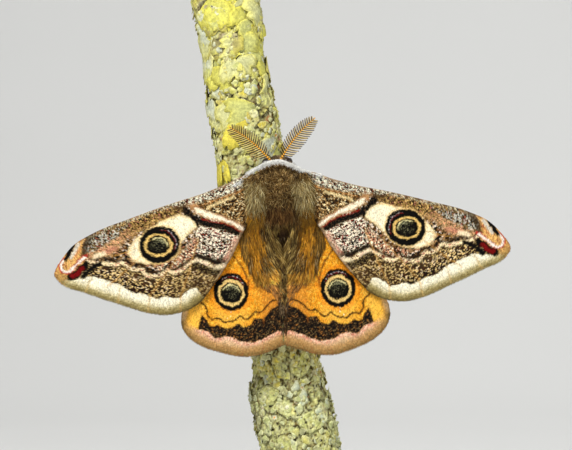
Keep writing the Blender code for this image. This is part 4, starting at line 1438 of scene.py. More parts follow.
@dataclass
class BodySkin:
    """One skin over head, thorax and abdomen: an oval lofted along the body.

    Each row of the profile is the height w, the half widths across and in depth, and
    the depth of its middle.
    """

    profile: list[tuple[float, float, float, float]] = field(default_factory=lambda: [
        (5.95, 0.02, 0.02, -8.45), (5.75, 0.75, 0.70, -8.45), (5.35, 1.20, 1.15, -8.45),
        (4.90, 1.50, 1.40, -8.60), (4.40, 1.60, 1.65, -8.90), (3.90, 2.00, 1.95, -9.20),
        (3.20, 2.60, 2.25, -9.45), (2.20, 3.00, 2.55, -9.55), (0.80, 3.20, 2.70, -9.60),
        (-0.80, 3.20, 2.70, -9.60), (-2.20, 3.00, 2.45, -9.45), (-3.40, 2.70, 2.05, -9.10),
        (-4.40, 2.30, 1.75, -8.70), (-5.50, 2.15, 1.60, -8.45), (-8.00, 2.10, 1.60, -8.30),
        (-10.50, 1.90, 1.45, -8.10), (-12.50, 1.30, 1.05, -7.90), (-13.60, 0.70, 0.55, -7.80),
        (-13.95, 0.02, 0.02, -7.77),
    ])
    rows: int = 140
    around: int = 100
    seed: int = 4

    def surface(self, shares: Array, turns: Array) -> Array:
        """The skin: an oval whose size follows the profile, pinched a little between
        the rings of the abdomen.

        Args:
            shares: Shares of the way from head to tail.
            turns: Turns round the body in radians, 0 in front, of the same shape.

        Returns:
            (u, y, w) of each.
        """
        rows = through(self.profile, shares.ravel())
        w, across, deep, middle = (rows[:, k].reshape(shares.shape) for k in range(4))
        rings = 1 - 0.045 * smooth(-4.0, -5.0, w) * np.cos((w + 4.4) * 2 * np.pi / 1.45) ** 4
        across, deep = np.maximum(across * rings, 0.01), np.maximum(deep * rings, 0.01)
        return np.stack([across * np.sin(turns), middle - deep * np.cos(turns), w], -1)

    def facing(self, shares: Array, turns: Array) -> Array:
        """Outward vectors as long as a small patch of the skin there is large.

        Args:
            shares: Shares of the way from head to tail.
            turns: Turns round the body in radians, of the same shape.

        Returns:
            The cross product of the surface's two slopes.
        """
        step = 1e-3
        along = (self.surface(np.minimum(shares + step, 1), turns)
                 - self.surface(np.maximum(shares - step, 0), turns))
        across = self.surface(shares, turns + step) - self.surface(shares, turns - step)
        return np.cross(along, across)

    def pick(self, rng: np.random.Generator, count: int) -> tuple[Array, Array]:
        """Places spread evenly over the skin's area.

        Args:
            rng: The seeded source.
            count: How many places to try; a part of them is kept.

        Returns:
            Their shares and turns.
        """
        shares, turns = rng.uniform(0.01, 0.99, count), rng.uniform(-math.pi, math.pi, count)
        area = np.linalg.norm(self.facing(shares, turns), axis=-1)
        kept = rng.random(count) < area / np.percentile(area, 99)
        return shares[kept], turns[kept]

    def unwrap(self, shares: Array, turns: Array) -> Array:
        """The skin's own flat map: round the body across, head to tail up."""
        return np.stack([(turns / (2 * math.pi)) % 1.0, shares], -1) * 0.99

    def build(self) -> bpy.types.Mesh:
        """Closed at head and tail by a small fan each.

        Returns:
            The skin's mesh.
        """
        shares, turns = np.meshgrid(np.linspace(0.0, 1.0, self.rows), ring_turns(self.around),
                                    indexing="ij")
        points = self.surface(shares, turns)
        first, last = points[0].mean(0), points[-1].mean(0)
        verts = np.concatenate([points.reshape(-1, 3), [first, last]])
        mesh = fast_mesh("body_skin", POSE.place(verts), capped(self.rows, self.around))
        # The skin is painted darker than the coat, as shade between the tufts.
        colours = body_colour(points.reshape(-1, 3), np.random.default_rng(self.seed)) * 0.7
        give_colour(mesh, np.concatenate([colours, colours[:1], colours[-1:]]))
        flat = self.unwrap(shares, turns).reshape(-1, 2)
        give_uv(mesh, np.concatenate([flat, flat[:1], flat[-1:]]))
        return mesh


def body_colour(points: Array, rng: np.random.Generator) -> Array:
    """Colours of the coat by place: each tuft takes one tone out of its zone's few.

    Args:
        points: Rows of u, y and w.
        rng: The seeded source.

    Returns:
        Rows of linear red, green and blue.
    """
    u, y, w = points[:, 0], points[:, 1], points[:, 2]
    wide = np.abs(u)
    blur = clouds(points, 1.1, 6.0)
    colour = np.zeros((len(points), 3))
    chance = rng.random(len(points))

    def lay(share: Array | float, *tones: Colour) -> None:
        """Covers the tufts of a zone, each with one tone at random.

        Args:
            share: The part of the tufts that take one, from 0 to 1.
            tones: The zone's tones.
        """
        nonlocal colour
        picked = np.array(tones)[(rng.random(len(points)) * len(tones)).astype(int)]
        taken = (chance < np.clip(share, 0, 1))[:, None]
        chance[:] = rng.random(len(points))
        colour = np.where(taken, picked, colour)

    # Dark wool over the breast's back, rusty lower down.
    lay(1.0, rgb(100, 74, 38), rgb(142, 110, 60), rgb(116, 88, 46), rgb(192, 160, 104),
        rgb(58, 42, 24))
    lay(fall(0.4, 1.3, np.abs(w + 1.3 + 0.4 * blur)) * fall(1.2, 2.4, wide),
        rgb(104, 72, 38), rgb(140, 100, 54), rgb(168, 124, 70), rgb(76, 50, 28))
    # Olive brushes at the shoulders, golden below them.
    lay(smooth(1.6, 2.5, wide + 0.4 * blur) * smooth(-1.0, 0.2, w) * smooth(3.4, 2.4, w),
        rgb(190, 166, 108), rgb(228, 208, 154), rgb(158, 132, 78), rgb(112, 88, 46))
    lay(smooth(2.3, 3.1, wide + 0.5 * blur) * smooth(-0.2, -1.2, w) * smooth(-7.5, -5.5, w),
        rgb(200, 142, 40), rgb(166, 114, 38), rgb(112, 80, 32), rgb(140, 108, 48))
    # Below the breast: olive, streaked with gold, dark along the middle.
    low = smooth(-1.9, -2.9, w + 0.3 * blur)
    lay(low * fall(2.2, 3.0, wide + 0.4 * blur), rgb(116, 90, 40), rgb(150, 122, 62),
        rgb(88, 64, 30), rgb(64, 46, 22), rgb(184, 156, 92))
    lay(low * smooth(1.8, 3.0, wide) * 0.4, rgb(178, 122, 34), rgb(146, 98, 30),
        rgb(96, 66, 26))
    lay(low * fall(0.25, 0.75, np.abs(wide + 0.3 * blur - 3.7)) * 0.85,
        rgb(206, 142, 36), rgb(184, 124, 36), rgb(222, 160, 50))
    lay(low * smooth(4.4, 5.2, wide + 0.3 * blur), rgb(140, 104, 44), rgb(110, 82, 38),
        rgb(168, 128, 60), rgb(190, 140, 54))
    lay(smooth(-8.6, -9.4, w + 0.4 * blur) * smooth(-11.2, -10.4, w + 0.4 * blur)
        * smooth(0.5, 1.1, wide), rgb(240, 182, 76), rgb(222, 160, 60), rgb(176, 124, 52))
    lay(smooth(-10.6, -11.4, w + 0.3 * blur) * smooth(0.3, 0.8, wide), rgb(220, 154, 72),
        rgb(192, 132, 64), rgb(156, 108, 58), rgb(112, 78, 42))
    lay(smooth(-12.8, -13.8, w), rgb(96, 76, 52), rgb(66, 50, 36), rgb(46, 34, 26),
        rgb(140, 116, 84))
    lay(low * fall(0.15, 0.6, wide) * smooth(-10.4, -9.2, w) * 0.6, rgb(72, 52, 28),
        rgb(100, 76, 42))
    lay(smooth(-9.4, -10.4, w) * fall(0.05, 0.3, wide) * 0.75, rgb(80, 54, 28),
        rgb(118, 82, 42), rgb(58, 38, 22))
    lay(fall(0.3, 0.75, np.hypot(0.9 * u, w + 3.7)), rgb(62, 42, 24), rgb(80, 58, 36))
    lay(fall(0.18, 0.3, np.hypot(u - 0.05, w + 4.4)), rgb(186, 160, 124))
    # The underside: greyish fawn; the head: brown.
    lay(smooth(-8.6, -7.6, y) * smooth(4.0, 2.5, w), rgb(138, 114, 90), rgb(112, 88, 68),
        rgb(164, 142, 118))
    lay(smooth(4.2, 4.7, w + 0.1 * blur) * smooth(-10.6, -9.8, y), rgb(122, 98, 66),
        rgb(90, 68, 44), rgb(160, 134, 96))
    # Locks catch the light: long streaks of brighter and darker tufts.
    drawn = points * [1.0, 1.0, 0.3]
    streak = noise(drawn, 0.3, 14.0) + 0.6 * noise(drawn, 0.7, 16.0)
    colour = colour * np.exp(0.5 * streak)[:, None]
    return colour * rng.uniform(0.7, 1.35, (len(points), 1))


@dataclass
class BodyCoat:
    """The fur of head, thorax and abdomen, as tufts that lie back along the body."""

    skin: BodySkin
    seed: int = 17
    collar_tufts: int = 7000
    finish: Hair = Hair("body_fur")

    def lie(self, points: Array, normals: Array, rise: Array, swing: Array) -> Array:
        """The way a tuft leaves the skin: back along the body and outwards from the
        midline, lifted by a rise and swung about the normal.

        Args:
            points: Roots.
            normals: Outward directions there.
            rise: Share of the normal in the direction.
            swing: Radians about the normal.

        Returns:
            Unit directions.
        """
        high = smooth(0.5, 3.4, points[:, 2])
        back = np.stack([(0.28 + 1.1 * high) * points[:, 0] / 3.0, 0 * high, -1 + 1.7 * high],
                        -1)
        flat = unit(back - (back * normals).sum(-1, keepdims=True) * normals)
        side = np.cross(normals, flat)
        swung = np.cos(swing)[:, None] * flat + np.sin(swing)[:, None] * side
        return unit(swung + rise[:, None] * normals)

    def tufts(self, name: str, count: int, low: float, high: float, length: tuple[float, float],
              width: float, rise: float, seed: int) -> bpy.types.Mesh:
        """Tufts over the skin between two heights.

        Args:
            name: Name of the mesh.
            count: Places tried over the whole skin.
            low: Lowest w of a root.
            high: Highest w of a root.
            length: Shortest and longest tuft.
            width: Width of a tuft at its root.
            rise: How far a tuft stands off the skin.
            seed: Seed of this layer.

        Returns:
            The layer's mesh.
        """
        rng = np.random.default_rng(seed)
        shares, turns = self.skin.pick(rng, count)
        points = self.skin.surface(shares, turns)
        normals = unit(self.skin.facing(shares, turns))
        kept = (points[:, 2] > low) & (points[:, 2] < high)
        shares, turns, points, normals = (x[kept] for x in (shares, turns, points, normals))
        total = len(points)
        behind = smooth(-8.4, -7.4, points[:, 1])
        upright = smooth(-1.0, 1.0, points[:, 2]) * fall(2.4, 3.6, np.abs(points[:, 0]))
        upright = upright * (1 - behind) * smooth(5.0, 4.4, points[:, 2])
        outer = smooth(2.2, 3.4, np.abs(points[:, 0])) * smooth(-1.5, 0.5, points[:, 2])
        reach = rng.uniform(*length, total) * (1 - 0.45 * behind) * (1 - 0.4 * upright)
        reach = reach * (1 - 0.4 * outer)
        # Tufts gather into locks that swing together.
        gather = 0.5 * noise(points, 0.8, 21.0) + 0.25 * noise(points, 0.35, 5.0)
        swing = gather + rng.normal(0, 0.16 + 1.6 * upright, total)
        lift = rise * rng.uniform(0.5, 1.4, total) + 1.1 * upright
        ahead = self.lie(points, normals, lift, swing)
        lean = self.lie(points, normals, lift * (0.25 + 0.4 * upright) - 0.05,
                        swing + rng.normal(0, 0.2, total))
        ink = body_colour(points, rng)
        # Each tuft is painted dark at its root as shade inside the coat, and lighter at its tip as
        # a painted highlight.
        tip_highlight = 1.2 + 0.2 * noise(points, 0.5, 9.0)[:, None]
        return Strands(
            roots=points - 0.08 * normals, ahead=ahead, lean=lean, out=normals, length=reach,
            width=width * rng.uniform(0.7, 1.25, total), root_colour=ink * 0.4,
            tip_colour=ink * tip_highlight, unwrap=self.skin.unwrap(shares, turns),
        ).build(name)

    def collar(self) -> bpy.types.Mesh:
        """The white band behind the head, arching from one forewing's front edge to
        the other's.

        Returns:
            The band's mesh.
        """
        rng = np.random.default_rng(self.seed + 3)
        line = curve_of([(-6.0, 2.3), (-4.9, 2.9), (-4.2, 3.55), (-3.4, 4.2), (-2.35, 4.68),
                         (-1.45, 5.05), (-0.3, 5.26), (0.6, 5.12), (1.5, 4.74), (2.6, 4.16),
                         (3.6, 3.64), (4.4, 3.36), (5.6, 3.05)], 200)
        count = self.collar_tufts
        share = rng.uniform(0, 1, count)
        at = through(line, share)
        tuft = 0.08 * noise(np.stack([at[:, 0], at[:, 1], 0 * share], -1), 0.45, 4.0)
        u = at[:, 0] + rng.normal(0, 0.07, count)
        w = at[:, 1] + rng.normal(0, 0.065, count) + 0.06 + tuft
        # Over the breast the band stands on the fur; outwards it sinks to the wings.
        y = -12.15 + 0.6 * smooth(1.5, 4.6, np.abs(u)) + rng.normal(0, 0.1, count)
        roots = np.stack([u, y, w], -1)
        out = np.tile(unit(np.array([0.0, -1.0, 0.5])), (count, 1))
        ahead = unit(np.stack([0.25 * u / 3 + rng.normal(0, 0.5, count),
                               -0.5 + rng.normal(0, 0.2, count),
                               -0.55 + rng.normal(0, 0.3, count)], -1))
        lean = unit(ahead + np.stack([0 * u, 0.2 + 0 * u, -0.4 + 0 * u], -1))
        ink = np.array(rgb(253, 252, 246)) * rng.uniform(0.9, 1.05, (count, 1))
        return Strands(
            roots=roots, ahead=ahead, lean=lean, out=out,
            length=rng.uniform(0.2, 0.5, count) * rng.choice([1.0, 1.7], count, p=[0.8, 0.2]),
            width=rng.uniform(0.05, 0.1, count),
            root_colour=ink * 0.96, tip_colour=np.minimum(ink * 1.04, 1),
            unwrap=np.stack([0.2 + 0.6 * share, rng.uniform(0.1, 0.12, count)], -1),
        ).build("collar_hair")

    def dress(self) -> None:
        """Shows the skin and each layer of its coat."""
        finish = material_of(self.finish)
        Piece("body_skin", self.skin.build(), finish, "fur",
              ("thorax", "abdomen", "head")).show()
        layers = [
            ("thorax_fur", 40000, -4.6, 4.5, (0.9, 1.6), 0.12, 0.45, 1),
            ("thorax_wool", 32000, -4.4, 4.3, (1.3, 2.1), 0.11, 0.65, 2),
            ("abdomen_fur", 26000, -14.0, -4.2, (0.7, 1.3), 0.12, 0.35, 3),
            ("head_fur", 60000, 4.4, 5.9, (0.4, 0.8), 0.07, 0.5, 4),
        ]
        for name, count, low, high, length, width, rise, seed in layers:
            mesh = self.tufts(name, count, low, high, length, width, rise, self.seed + seed)
            Piece(name, mesh, finish, "fur").show()
        Piece("collar_hair", self.collar(), finish, "fur").show()


@dataclass
class WingHair:
    """The long hair over a wing's base: over a hindwing it is swept down and in to the
    midline, and over a forewing outwards from the thorax."""

    shape: WingShape
    seed: int
    hind_tried: int = 28200
    fore_tried: int = 16000

    @property
    def name(self) -> str:
        """The piece's name."""
        return f"{self.shape.plan.name}_hair_{self.shape.side.word}"

    def build_hind(self) -> bpy.types.Mesh:
        """Tufts rooted on a hindwing's front sheet, thinning out away from the body.

        Returns:
            The hair's mesh.
        """
        rng = np.random.default_rng(self.seed)
        tried = self.hind_tried
        share, column = rng.uniform(0.0, 0.88, tried), rng.uniform(0.12, 1, tried)
        points = self.shape.surface(share, column)
        u, w = np.abs(points[:, 0]), points[:, 2]
        ragged = 0.5 * clouds(points, 1.2, 3.0)
        reach = np.interp(w, [-16.0, -14.5, -13.0, -12.0, -11.2, -10.4, -9.2, -7.6, -6.2, -4.0],
                          [0.4, 0.8, 1.4, 2.2, 3.3, 4.1, 4.5, 5.1, 5.8, 5.9]) + ragged
        chance = fall(reach - 0.7, reach, u) * (1 - 0.5 * smooth(-12.0, -16.0, w))
        kept = rng.random(len(share)) < chance
        share, column, points = share[kept], column[kept], points[kept]
        count = len(points)
        u, w = points[:, 0], points[:, 2]
        near = fall(0.8, 4.2, np.abs(u))
        inward = -self.shape.side.value * (0.2 + 0.6 * near * smooth(-3.5, -5.5, w))
        inward = inward * smooth(0.05, 0.8, np.abs(u))
        gather = 0.2 * noise(points, 0.9, 21.0) + rng.normal(0, 0.08, count)
        ahead = unit(np.stack([inward + gather, -0.30 * rng.uniform(0.4, 1.5, count),
                               -np.ones(count)], -1))
        lean = unit(np.stack([0.85 * inward + gather + rng.normal(0, 0.08, count),
                              0.10 + 0 * u, -np.ones(count)], -1))
        ink = body_colour(points, rng)
        past = 1 - 0.5 * smooth(-8.5, -11.0, w)
        # Roots painted dark as shade under the hair, tips lighter as a painted highlight.
        return Strands(
            roots=points + [0, -0.16, 0], ahead=ahead, lean=lean,
            length=rng.uniform(1.3, 2.6, count) * past,
            width=rng.uniform(0.08, 0.15, count), root_colour=ink * 0.4,
            tip_colour=ink * 1.15, unwrap=np.stack([column, share], -1) * 0.99,
        ).build(self.name)

    def build_fore(self) -> bpy.types.Mesh:
        """Tufts over a forewing's foot.

        Returns:
            The hair's mesh.
        """
        rng = np.random.default_rng(self.seed + 40)
        tried = self.fore_tried
        share, column = rng.uniform(0.0, 0.13, tried), rng.uniform(0.0, 1.0, tried)
        points = self.shape.surface(share, column)
        ragged = 0.5 * clouds(points, 0.9, 3.0)
        wide = fall(3.2, 4.2, np.abs(points[:, 0]) + ragged)
        kept = rng.random(len(share)) < wide * fall(3.5, 4.3, points[:, 2])
        share, column, points = share[kept], column[kept], points[kept]
        count = len(points)
        sign = self.shape.side.value
        high = smooth(0.5, 3.0, points[:, 2])
        ahead = unit(np.stack([sign * (0.25 + 0.4 * high) * rng.uniform(-1.1, 1.9, count),
                               -0.5 * rng.uniform(0.3, 1.4, count),
                               -0.9 + 0.3 * high + rng.normal(0, 0.2, count)], -1))
        lean = unit(ahead + np.stack([0 * share, 0.4 + 0 * share, -0.4 + 0 * share], -1))
        ink = body_colour(points, rng)
        # Roots painted dark as shade under the hair, tips lighter as a painted highlight.
        return Strands(
            roots=points + [0, -0.16, 0], ahead=ahead, lean=lean,
            length=rng.uniform(0.8, 1.7, count) * (1.6 - 0.7 * high),
            width=rng.uniform(0.07, 0.12, count), root_colour=ink * 0.5, tip_colour=ink * 1.2,
            unwrap=np.stack([column, share], -1) * 0.99,
        ).build(self.name)

    def dress(self) -> None:
        """Shows the hair of the wing's own kind."""
        mesh = self.build_fore() if self.shape.plan is FORE else self.build_hind()
        Piece(self.name, mesh, material_of(Hair("wing_base_hair")), "fur").show()


def tubes(name: str, paths: Array, radii: Array, ref: Array, colours: Array,
          sides: int) -> bpy.types.Mesh:
    """Many tapering tubes of equal make in one mesh: a ring of points round each point
    of each path, closed by a fan at both ends.

    Args:
        name: Name of the mesh.
        paths: (tubes, points, 3) in millimetres.
        radii: (tubes, points).
        ref: (tubes, 3), a direction across each path.
        colours: (tubes, points, 3).
        sides: Points in a ring.

    Returns:
        The mesh.
    """
    count, rings = paths.shape[:2]
    ahead = unit(np.gradient(paths, axis=1))
    side = unit(np.cross(ahead, ref[:, None]))
    rise = np.cross(side, ahead)
    turn = ring_turns(sides)
    ring = (side[:, :, None] * np.cos(turn)[:, None] + rise[:, :, None] * np.sin(turn)[:, None])
    body = (paths[:, :, None] + radii[:, :, None, None] * ring).reshape(count, -1, 3)
    verts = np.concatenate([body, paths[:, :1], paths[:, -1:]], 1)
    faces = copies(capped(rings, sides), count, rings * sides + 2)
    mesh = fast_mesh(name, POSE.place(verts.reshape(-1, 3)), faces)
    ink = np.concatenate([np.repeat(colours, sides, axis=1), colours[:, :1], colours[:, -1:]], 1)
    give_colour(mesh, ink.reshape(-1, 3))
    return mesh


# The head's middle across, a little to the moth's left as in the photo.
HEAD_U = -0.1


@dataclass
class Feeler:
    """A feathered feeler: a ringed shaft with four rows of fine hairy branches."""

    side: Side
    seed: int
    segments: int = 21
    rings: int = 7
    hairs: int = 5
    shaft: float = 0.14
    shaft_tip: float = 0.065
    finish: Chitin = Chitin("antenna_horn")

    def __post_init__(self) -> None:
        """Works out the shaft's own directions."""
        tips = {Side.LEFT: (-6.35, -11.4, 10.15), Side.RIGHT: (5.3, -11.4, 10.8)}
        self.root = np.array([HEAD_U - 0.25 + self.side.value * 0.9, -10.15, 5.7])
        self.tip = np.array(tips[self.side])
        self.along = unit(self.tip - self.root)
        toward = np.array([0.0, -1.0, 0.0])
        self.toward = unit(toward - self.along * (toward @ self.along))
        self.broad = np.cross(self.along, self.toward) * self.side.value

    def line(self, shares: Array) -> Array:
        """The shaft's middle: a straight run with a half-sine bow."""
        bow = -self.broad * 0.35 * np.sin(np.pi * shares)[..., None]
        return self.root + (self.tip - self.root) * shares[..., None] + bow

    def build_shaft(self) -> bpy.types.Mesh:
        """The shaft, thick at each ring's end and drawn in between.

        Returns:
            The shaft's mesh.
        """
        shares = np.linspace(-0.06, 1.0, self.segments * self.rings + 1)
        phase = (shares * self.segments) % 1.0
        swell = 1 + 0.24 * np.sin(np.pi * phase) - 0.3 * fall(0.0, 0.12, phase)
        radius = (self.shaft + (self.shaft_tip - self.shaft) * shares) * swell
        radius[-1] = 0.02
        dark = (fall(0.22, 0.46, phase) + smooth(0.84, 0.98, phase))[:, None]
        ink = np.array(rgb(244, 174, 40)) * (1 - dark) + np.array(rgb(66, 38, 16)) * dark
        return tubes(f"antenna_{self.side.word}_shaft", self.line(shares)[None], radius[None],
                     self.toward[None], ink[None], 12)

    def branches(self) -> tuple[Array, Array, Array, Array]:
        """Paths of all branches, with their radii, colours and a direction across."""
        rng = np.random.default_rng(self.seed)
        paths, radii, inks = [], [], []
        steps = np.linspace(0, 1, 9)
        for row in (1.0, -1.0):
            for pair in (0, 1):
                share = (np.arange(self.segments - 2) + 0.3 + 0.42 * pair) / self.segments + 0.04
                count = len(share)
                fold, lean = (14 + 8 * pair, 68 - 4 * share) if row > 0 else (
                    30 + 8 * pair, 82 - 28 * share)
                length = np.interp(share, [0.0, 0.15, 0.4, 0.7, 0.88, 1.0],
                                   [1.05, 1.55, 1.8, 1.5, 0.95, 0.5])
                length = length * (1.0 if row > 0 else 0.8) * rng.uniform(0.94, 1.04, count)
                tilt = np.radians(lean + rng.normal(0, 1.5, count))[:, None]
                out = (self.broad * row * math.cos(math.radians(fold))
                       + self.toward * math.sin(math.radians(fold)))
                ahead = out * np.sin(tilt) + self.along * np.cos(tilt)
                curl = (self.along * 0.16 - out * 0.04)[None, None]
                path = (self.line(share)[:, None]
                        + ahead[:, None] * (length[:, None] * steps)[..., None]
                        + curl * (length[:, None] * steps**2)[..., None])
                paths.append(path)
                radii.append(np.tile((0.078 if pair == 0 else 0.062) - 0.024 * steps, (count, 1)))
                shade = rng.uniform(0.85, 1.15, (count, 1, 1)) + 0 * steps[None, :, None]
                # The second branch of each pair is pale: a painted highlight beside the dark one.
                tone = rgb(60, 38, 16) if pair == 0 else rgb(206, 180, 102)
                inks.append(np.array(tone) * shade)
        paths, radii, inks = (np.concatenate(x) for x in (paths, radii, inks))
        return paths, radii, inks, np.tile(self.toward, (len(paths), 1))

    def cilia(self, paths: Array) -> bpy.types.Mesh:
        """Fine hairs in two rows along each branch.

        Args:
            paths: The branches' paths.

        Returns:
            The hairs' mesh.
        """
        rng = np.random.default_rng(self.seed + 5)
        which = np.repeat(np.arange(len(paths)), self.hairs)
        count = len(which)
        share = rng.uniform(0.05, 0.98, count) * (paths.shape[1] - 1.001)
        low = share.astype(int)
        part = (share - low)[:, None]
        root = paths[which, low] * (1 - part) + paths[which, low + 1] * part
        along = unit(paths[which, low + 1] - paths[which, low])
        across = unit(np.cross(along, self.toward)) * rng.choice([-1.0, 1.0], count)[:, None]
        ahead = unit(across + 0.7 * along + rng.normal(0, 0.15, (count, 3)))
        ink = np.array(rgb(104, 74, 38)) * rng.uniform(0.7, 1.15, (count, 1))
        return Strands(
            roots=root, ahead=ahead, lean=unit(ahead + 0.4 * along),
            out=unit(np.cross(ahead, np.cross(self.toward, ahead))),
            length=rng.uniform(0.05, 0.09, count), width=np.full(count, 0.016),
            root_colour=ink * 0.8, tip_colour=ink,
            unwrap=np.stack([share / paths.shape[1], which / len(paths)], -1) * 0.99, rings=1,
            taper=0.8,
        ).build(f"antenna_{self.side.word}_hair")

    def dress(self) -> None:
        """Shows shaft, branches and their hair."""
        finish = material_of(self.finish)
        name = f"antenna_{self.side.word}"
        Piece(name + "_shaft", self.build_shaft(), finish, "feeler_horn", (name,)).show()
        paths, radii, inks, across = self.branches()
        mesh = tubes(name + "_branches", paths, radii, across, inks, 5)
        Piece(name + "_branches", mesh, finish, "feeler_horn").show()
        Piece(name + "_hair", self.cilia(paths), material_of(Hair("antenna_hair")),
              "feeler_horn").show()


@dataclass
class Eye:
    """A round compound eye at the side of the head."""

    side: Side
    apart: float = 1.3
    radius: float = 0.79
    rings: int = 39
    around: int = 64
    finish: CompoundEye = CompoundEye("eye_facets")

    def dress(self) -> None:
        """Shows the ball: points at equal turns up and round a sphere."""
        up, turn = np.meshgrid(np.linspace(0, math.pi, self.rings + 2),
                               ring_turns(self.around), indexing="ij")
        ring = np.stack([np.sin(up) * np.cos(turn), np.sin(up) * np.sin(turn), np.cos(up)], -1)
        middle = np.array([HEAD_U + self.side.value * self.apart, -8.35, 5.1])
        inner = ring[1:-1].reshape(-1, 3)
        verts = middle + self.radius * np.concatenate([inner, [[0, 0, 1.0]], [[0, 0, -1.0]]])
        name = f"eye_{self.side.word}"
        mesh = fast_mesh(name + "_ball", POSE.place(verts), capped(self.rings, self.around))
        Piece(name + "_ball", mesh, material_of(self.finish), "eye_gloss", (name,)).show()


@dataclass
class Branch:
    """The branch: bark with ridges and crusts, under leafy and grainy lichen.

    The bare bark lies sunk below the solid's skin, so that the lichen comes up to it.
    The branch's middle in x is foot_x at its foot and moves left by slant going up.
    """

    foot: float = 10.5
    top: float = 75.5
    rows: int = 366
    around: int = 200
    seed: int = 3
    sunk: float = 0.32
    foot_x: float = 0.3
    slant: float = 0.173
    usual_radius: float = 5.0
    finish: LichenedBark = LichenedBark("lichened_bark")
    widths: list[tuple[float, float]] = field(default_factory=lambda: [
        (10.5, 5.6), (15.5, 5.6), (19.0, 5.45), (23.0, 4.95), (30.0, 4.7), (46.0, 4.7),
        (58.0, 4.7), (66.0, 4.65), (72.0, 5.0), (75.5, 5.0),
    ])

    def middle(self, z: Array) -> Array:
        """The branch's middle in x at a height: it leans to the left going up."""
        return self.foot_x - self.slant * (z - self.foot)

    def radius(self, z: Array, turn: Array) -> Array:
        """The solid branch's radius: its widths along it, with two soft waves."""
        widths = np.asarray(self.widths)
        waves = np.sin(3 * turn + 0.31 * z) + np.sin(2 * turn - 0.47 * z + 1.0)
        return np.interp(z, widths[:, 0], widths[:, 1]) + 0.16 * waves

    def point(self, z: Array, turn: Array, out: Array | float = 0.0) -> Array:
        """A place on the branch in millimetres of the frame.

        Args:
            z: Heights.
            turn: Turns round the branch in radians, 0 towards the camera.
            out: How far outside the solid's skin.

        Returns:
            Rows of x, y and z.
        """
        left = smooth(0.0, 0.8, -np.sin(turn))
        worn = 0.55 * left * smooth(54.0, 56.0, z) + 0.25 * smooth(60.0, 66.0, z)
        worn = worn + 0.5 * left * smooth(20.0, 22.0, z) * smooth(34.0, 31.0, z)
        reach = self.radius(z, turn) + out - worn
        return np.stack([self.middle(z) + reach * np.sin(turn), -reach * np.cos(turn), z], -1)

    def cover(self, points: Array) -> tuple[Array, Array]:
        """Height and colour of bark and lichen, from cells of three sizes: leafy
        patches with a raised rim, small scales, and grains; dark gaps lie between.

        Args:
            points: Places on the solid branch, in millimetres.

        Returns:
            Height off the sunk bark, and linear colours.
        """
        z = points[..., 2]
        bend = 0.5 * np.stack([noise(points, 1.7, 40.0 + k) for k in range(3)], -1)
        near, second, owner = cell_noise(points + bend, 2.9, 1.0)
        near2, second2, owner2 = cell_noise(points + 0.6 * bend, 1.15, 7.0)
        near3, _, owner3 = cell_noise(points + 0.4 * bend, 0.45, 13.0)
        near4, _, owner4 = cell_noise(points, 0.26, 23.0)
        cup, _, cup_owner = cell_noise(points, 1.25, 31.0)
        gap = smooth(0.02, 0.16, second - near)
        gap2 = smooth(0.0, 0.14, second2 - near2)
        high = smooth(50.0, 60.0, z)
        leafy = smooth(0.30, 0.36, owner + 0.05 * clouds(points, 3.0, 3.0))
        scaly = smooth(0.42, 0.5, owner2)
        rimmed = smooth(0.30, 0.06, second - near) * gap
        height = (
            0.16 * clouds(points, 2.4, 17.0) + 0.10 * clouds(points, 0.7, 19.0)
            + leafy * (0.26 + 0.16 * rimmed) * gap
            + scaly * 0.17 * gap2 * (1 - near2)
            + 0.10 * (1 - near3) * smooth(0.3, 0.6, owner3)
            + 0.05 * (1 - near4)
        )
        colour = np.empty((*z.shape, 3))
        colour[:] = rgb(160, 142, 92)
        rng = np.random.default_rng(self.seed)

        def lay(share: Array, tint: Colour) -> None:
            """Covers the colours by a share."""
            nonlocal colour
            share = np.clip(share, 0, 1)[..., None]
            colour = colour * (1 - share) + np.array(tint) * share

        lay(smooth(0.45, 0.7, noise(points, 0.8, 33.0) * 0.5 + 0.5), rgb(126, 108, 66))
        lay(leafy * gap * (1 - high), rgb(210, 208, 112))
        lay(leafy * gap * high, rgb(234, 226, 88))
        lay(leafy * gap * smooth(0.62, 0.66, owner), rgb(226, 224, 148))
        lay(leafy * gap * smooth(0.78, 0.81, owner) * (1 - high), rgb(222, 204, 70))
        lay(leafy * gap * smooth(0.90, 0.92, owner), rgb(240, 238, 196))
        lay(scaly * gap2 * smooth(0.6, 0.63, owner2) * 0.85, rgb(228, 228, 136))
        lay(scaly * gap2 * smooth(0.74, 0.76, owner2) * 0.9, rgb(212, 190, 84))
        lay(scaly * gap2 * smooth(0.84, 0.86, owner2) * 0.9, rgb(238, 234, 186))
        lay(gap2 * smooth(0.95, 0.97, owner2), rgb(170, 106, 62))
        lay(leafy * rimmed * 0.6, rgb(240, 238, 160))
        bare = smooth(0.0, 0.4, noise(points, 2.6, 61.0)) * high
        lay(bare * 0.8, rgb(164, 146, 122))
        rusty, fine_rusty = noise(points, 1.3, 62.0), noise(points, 0.4, 63.0)
        lay(smooth(0.35, 0.6, rusty) * smooth(-0.1, 0.3, fine_rusty) * (0.4 + 0.4 * bare),
            rgb(148, 72, 60))
        lay((1 - high) * smooth(0.0, 0.5, noise(points, 1.6, 64.0)) * 0.5, rgb(206, 210, 138))
        lay(smooth(22.5, 19.0, z) * 0.34, rgb(208, 222, 160))
        # Dark in the cracks between patches and between scales: bark there, with painted shade.
        lay((1 - gap) * 0.9, rgb(40, 32, 20))
        lay((1 - gap2) * 0.5, rgb(110, 96, 44))
        # Dark hollows, sunk where deepest: dark bark with painted shade.
        hollow, fine_hollow = noise(points, 1.5, 51.0), noise(points, 0.5, 52.0)
        lay(smooth(0.45, 0.7, hollow) * smooth(0.1, 0.4, fine_hollow), rgb(34, 27, 20))
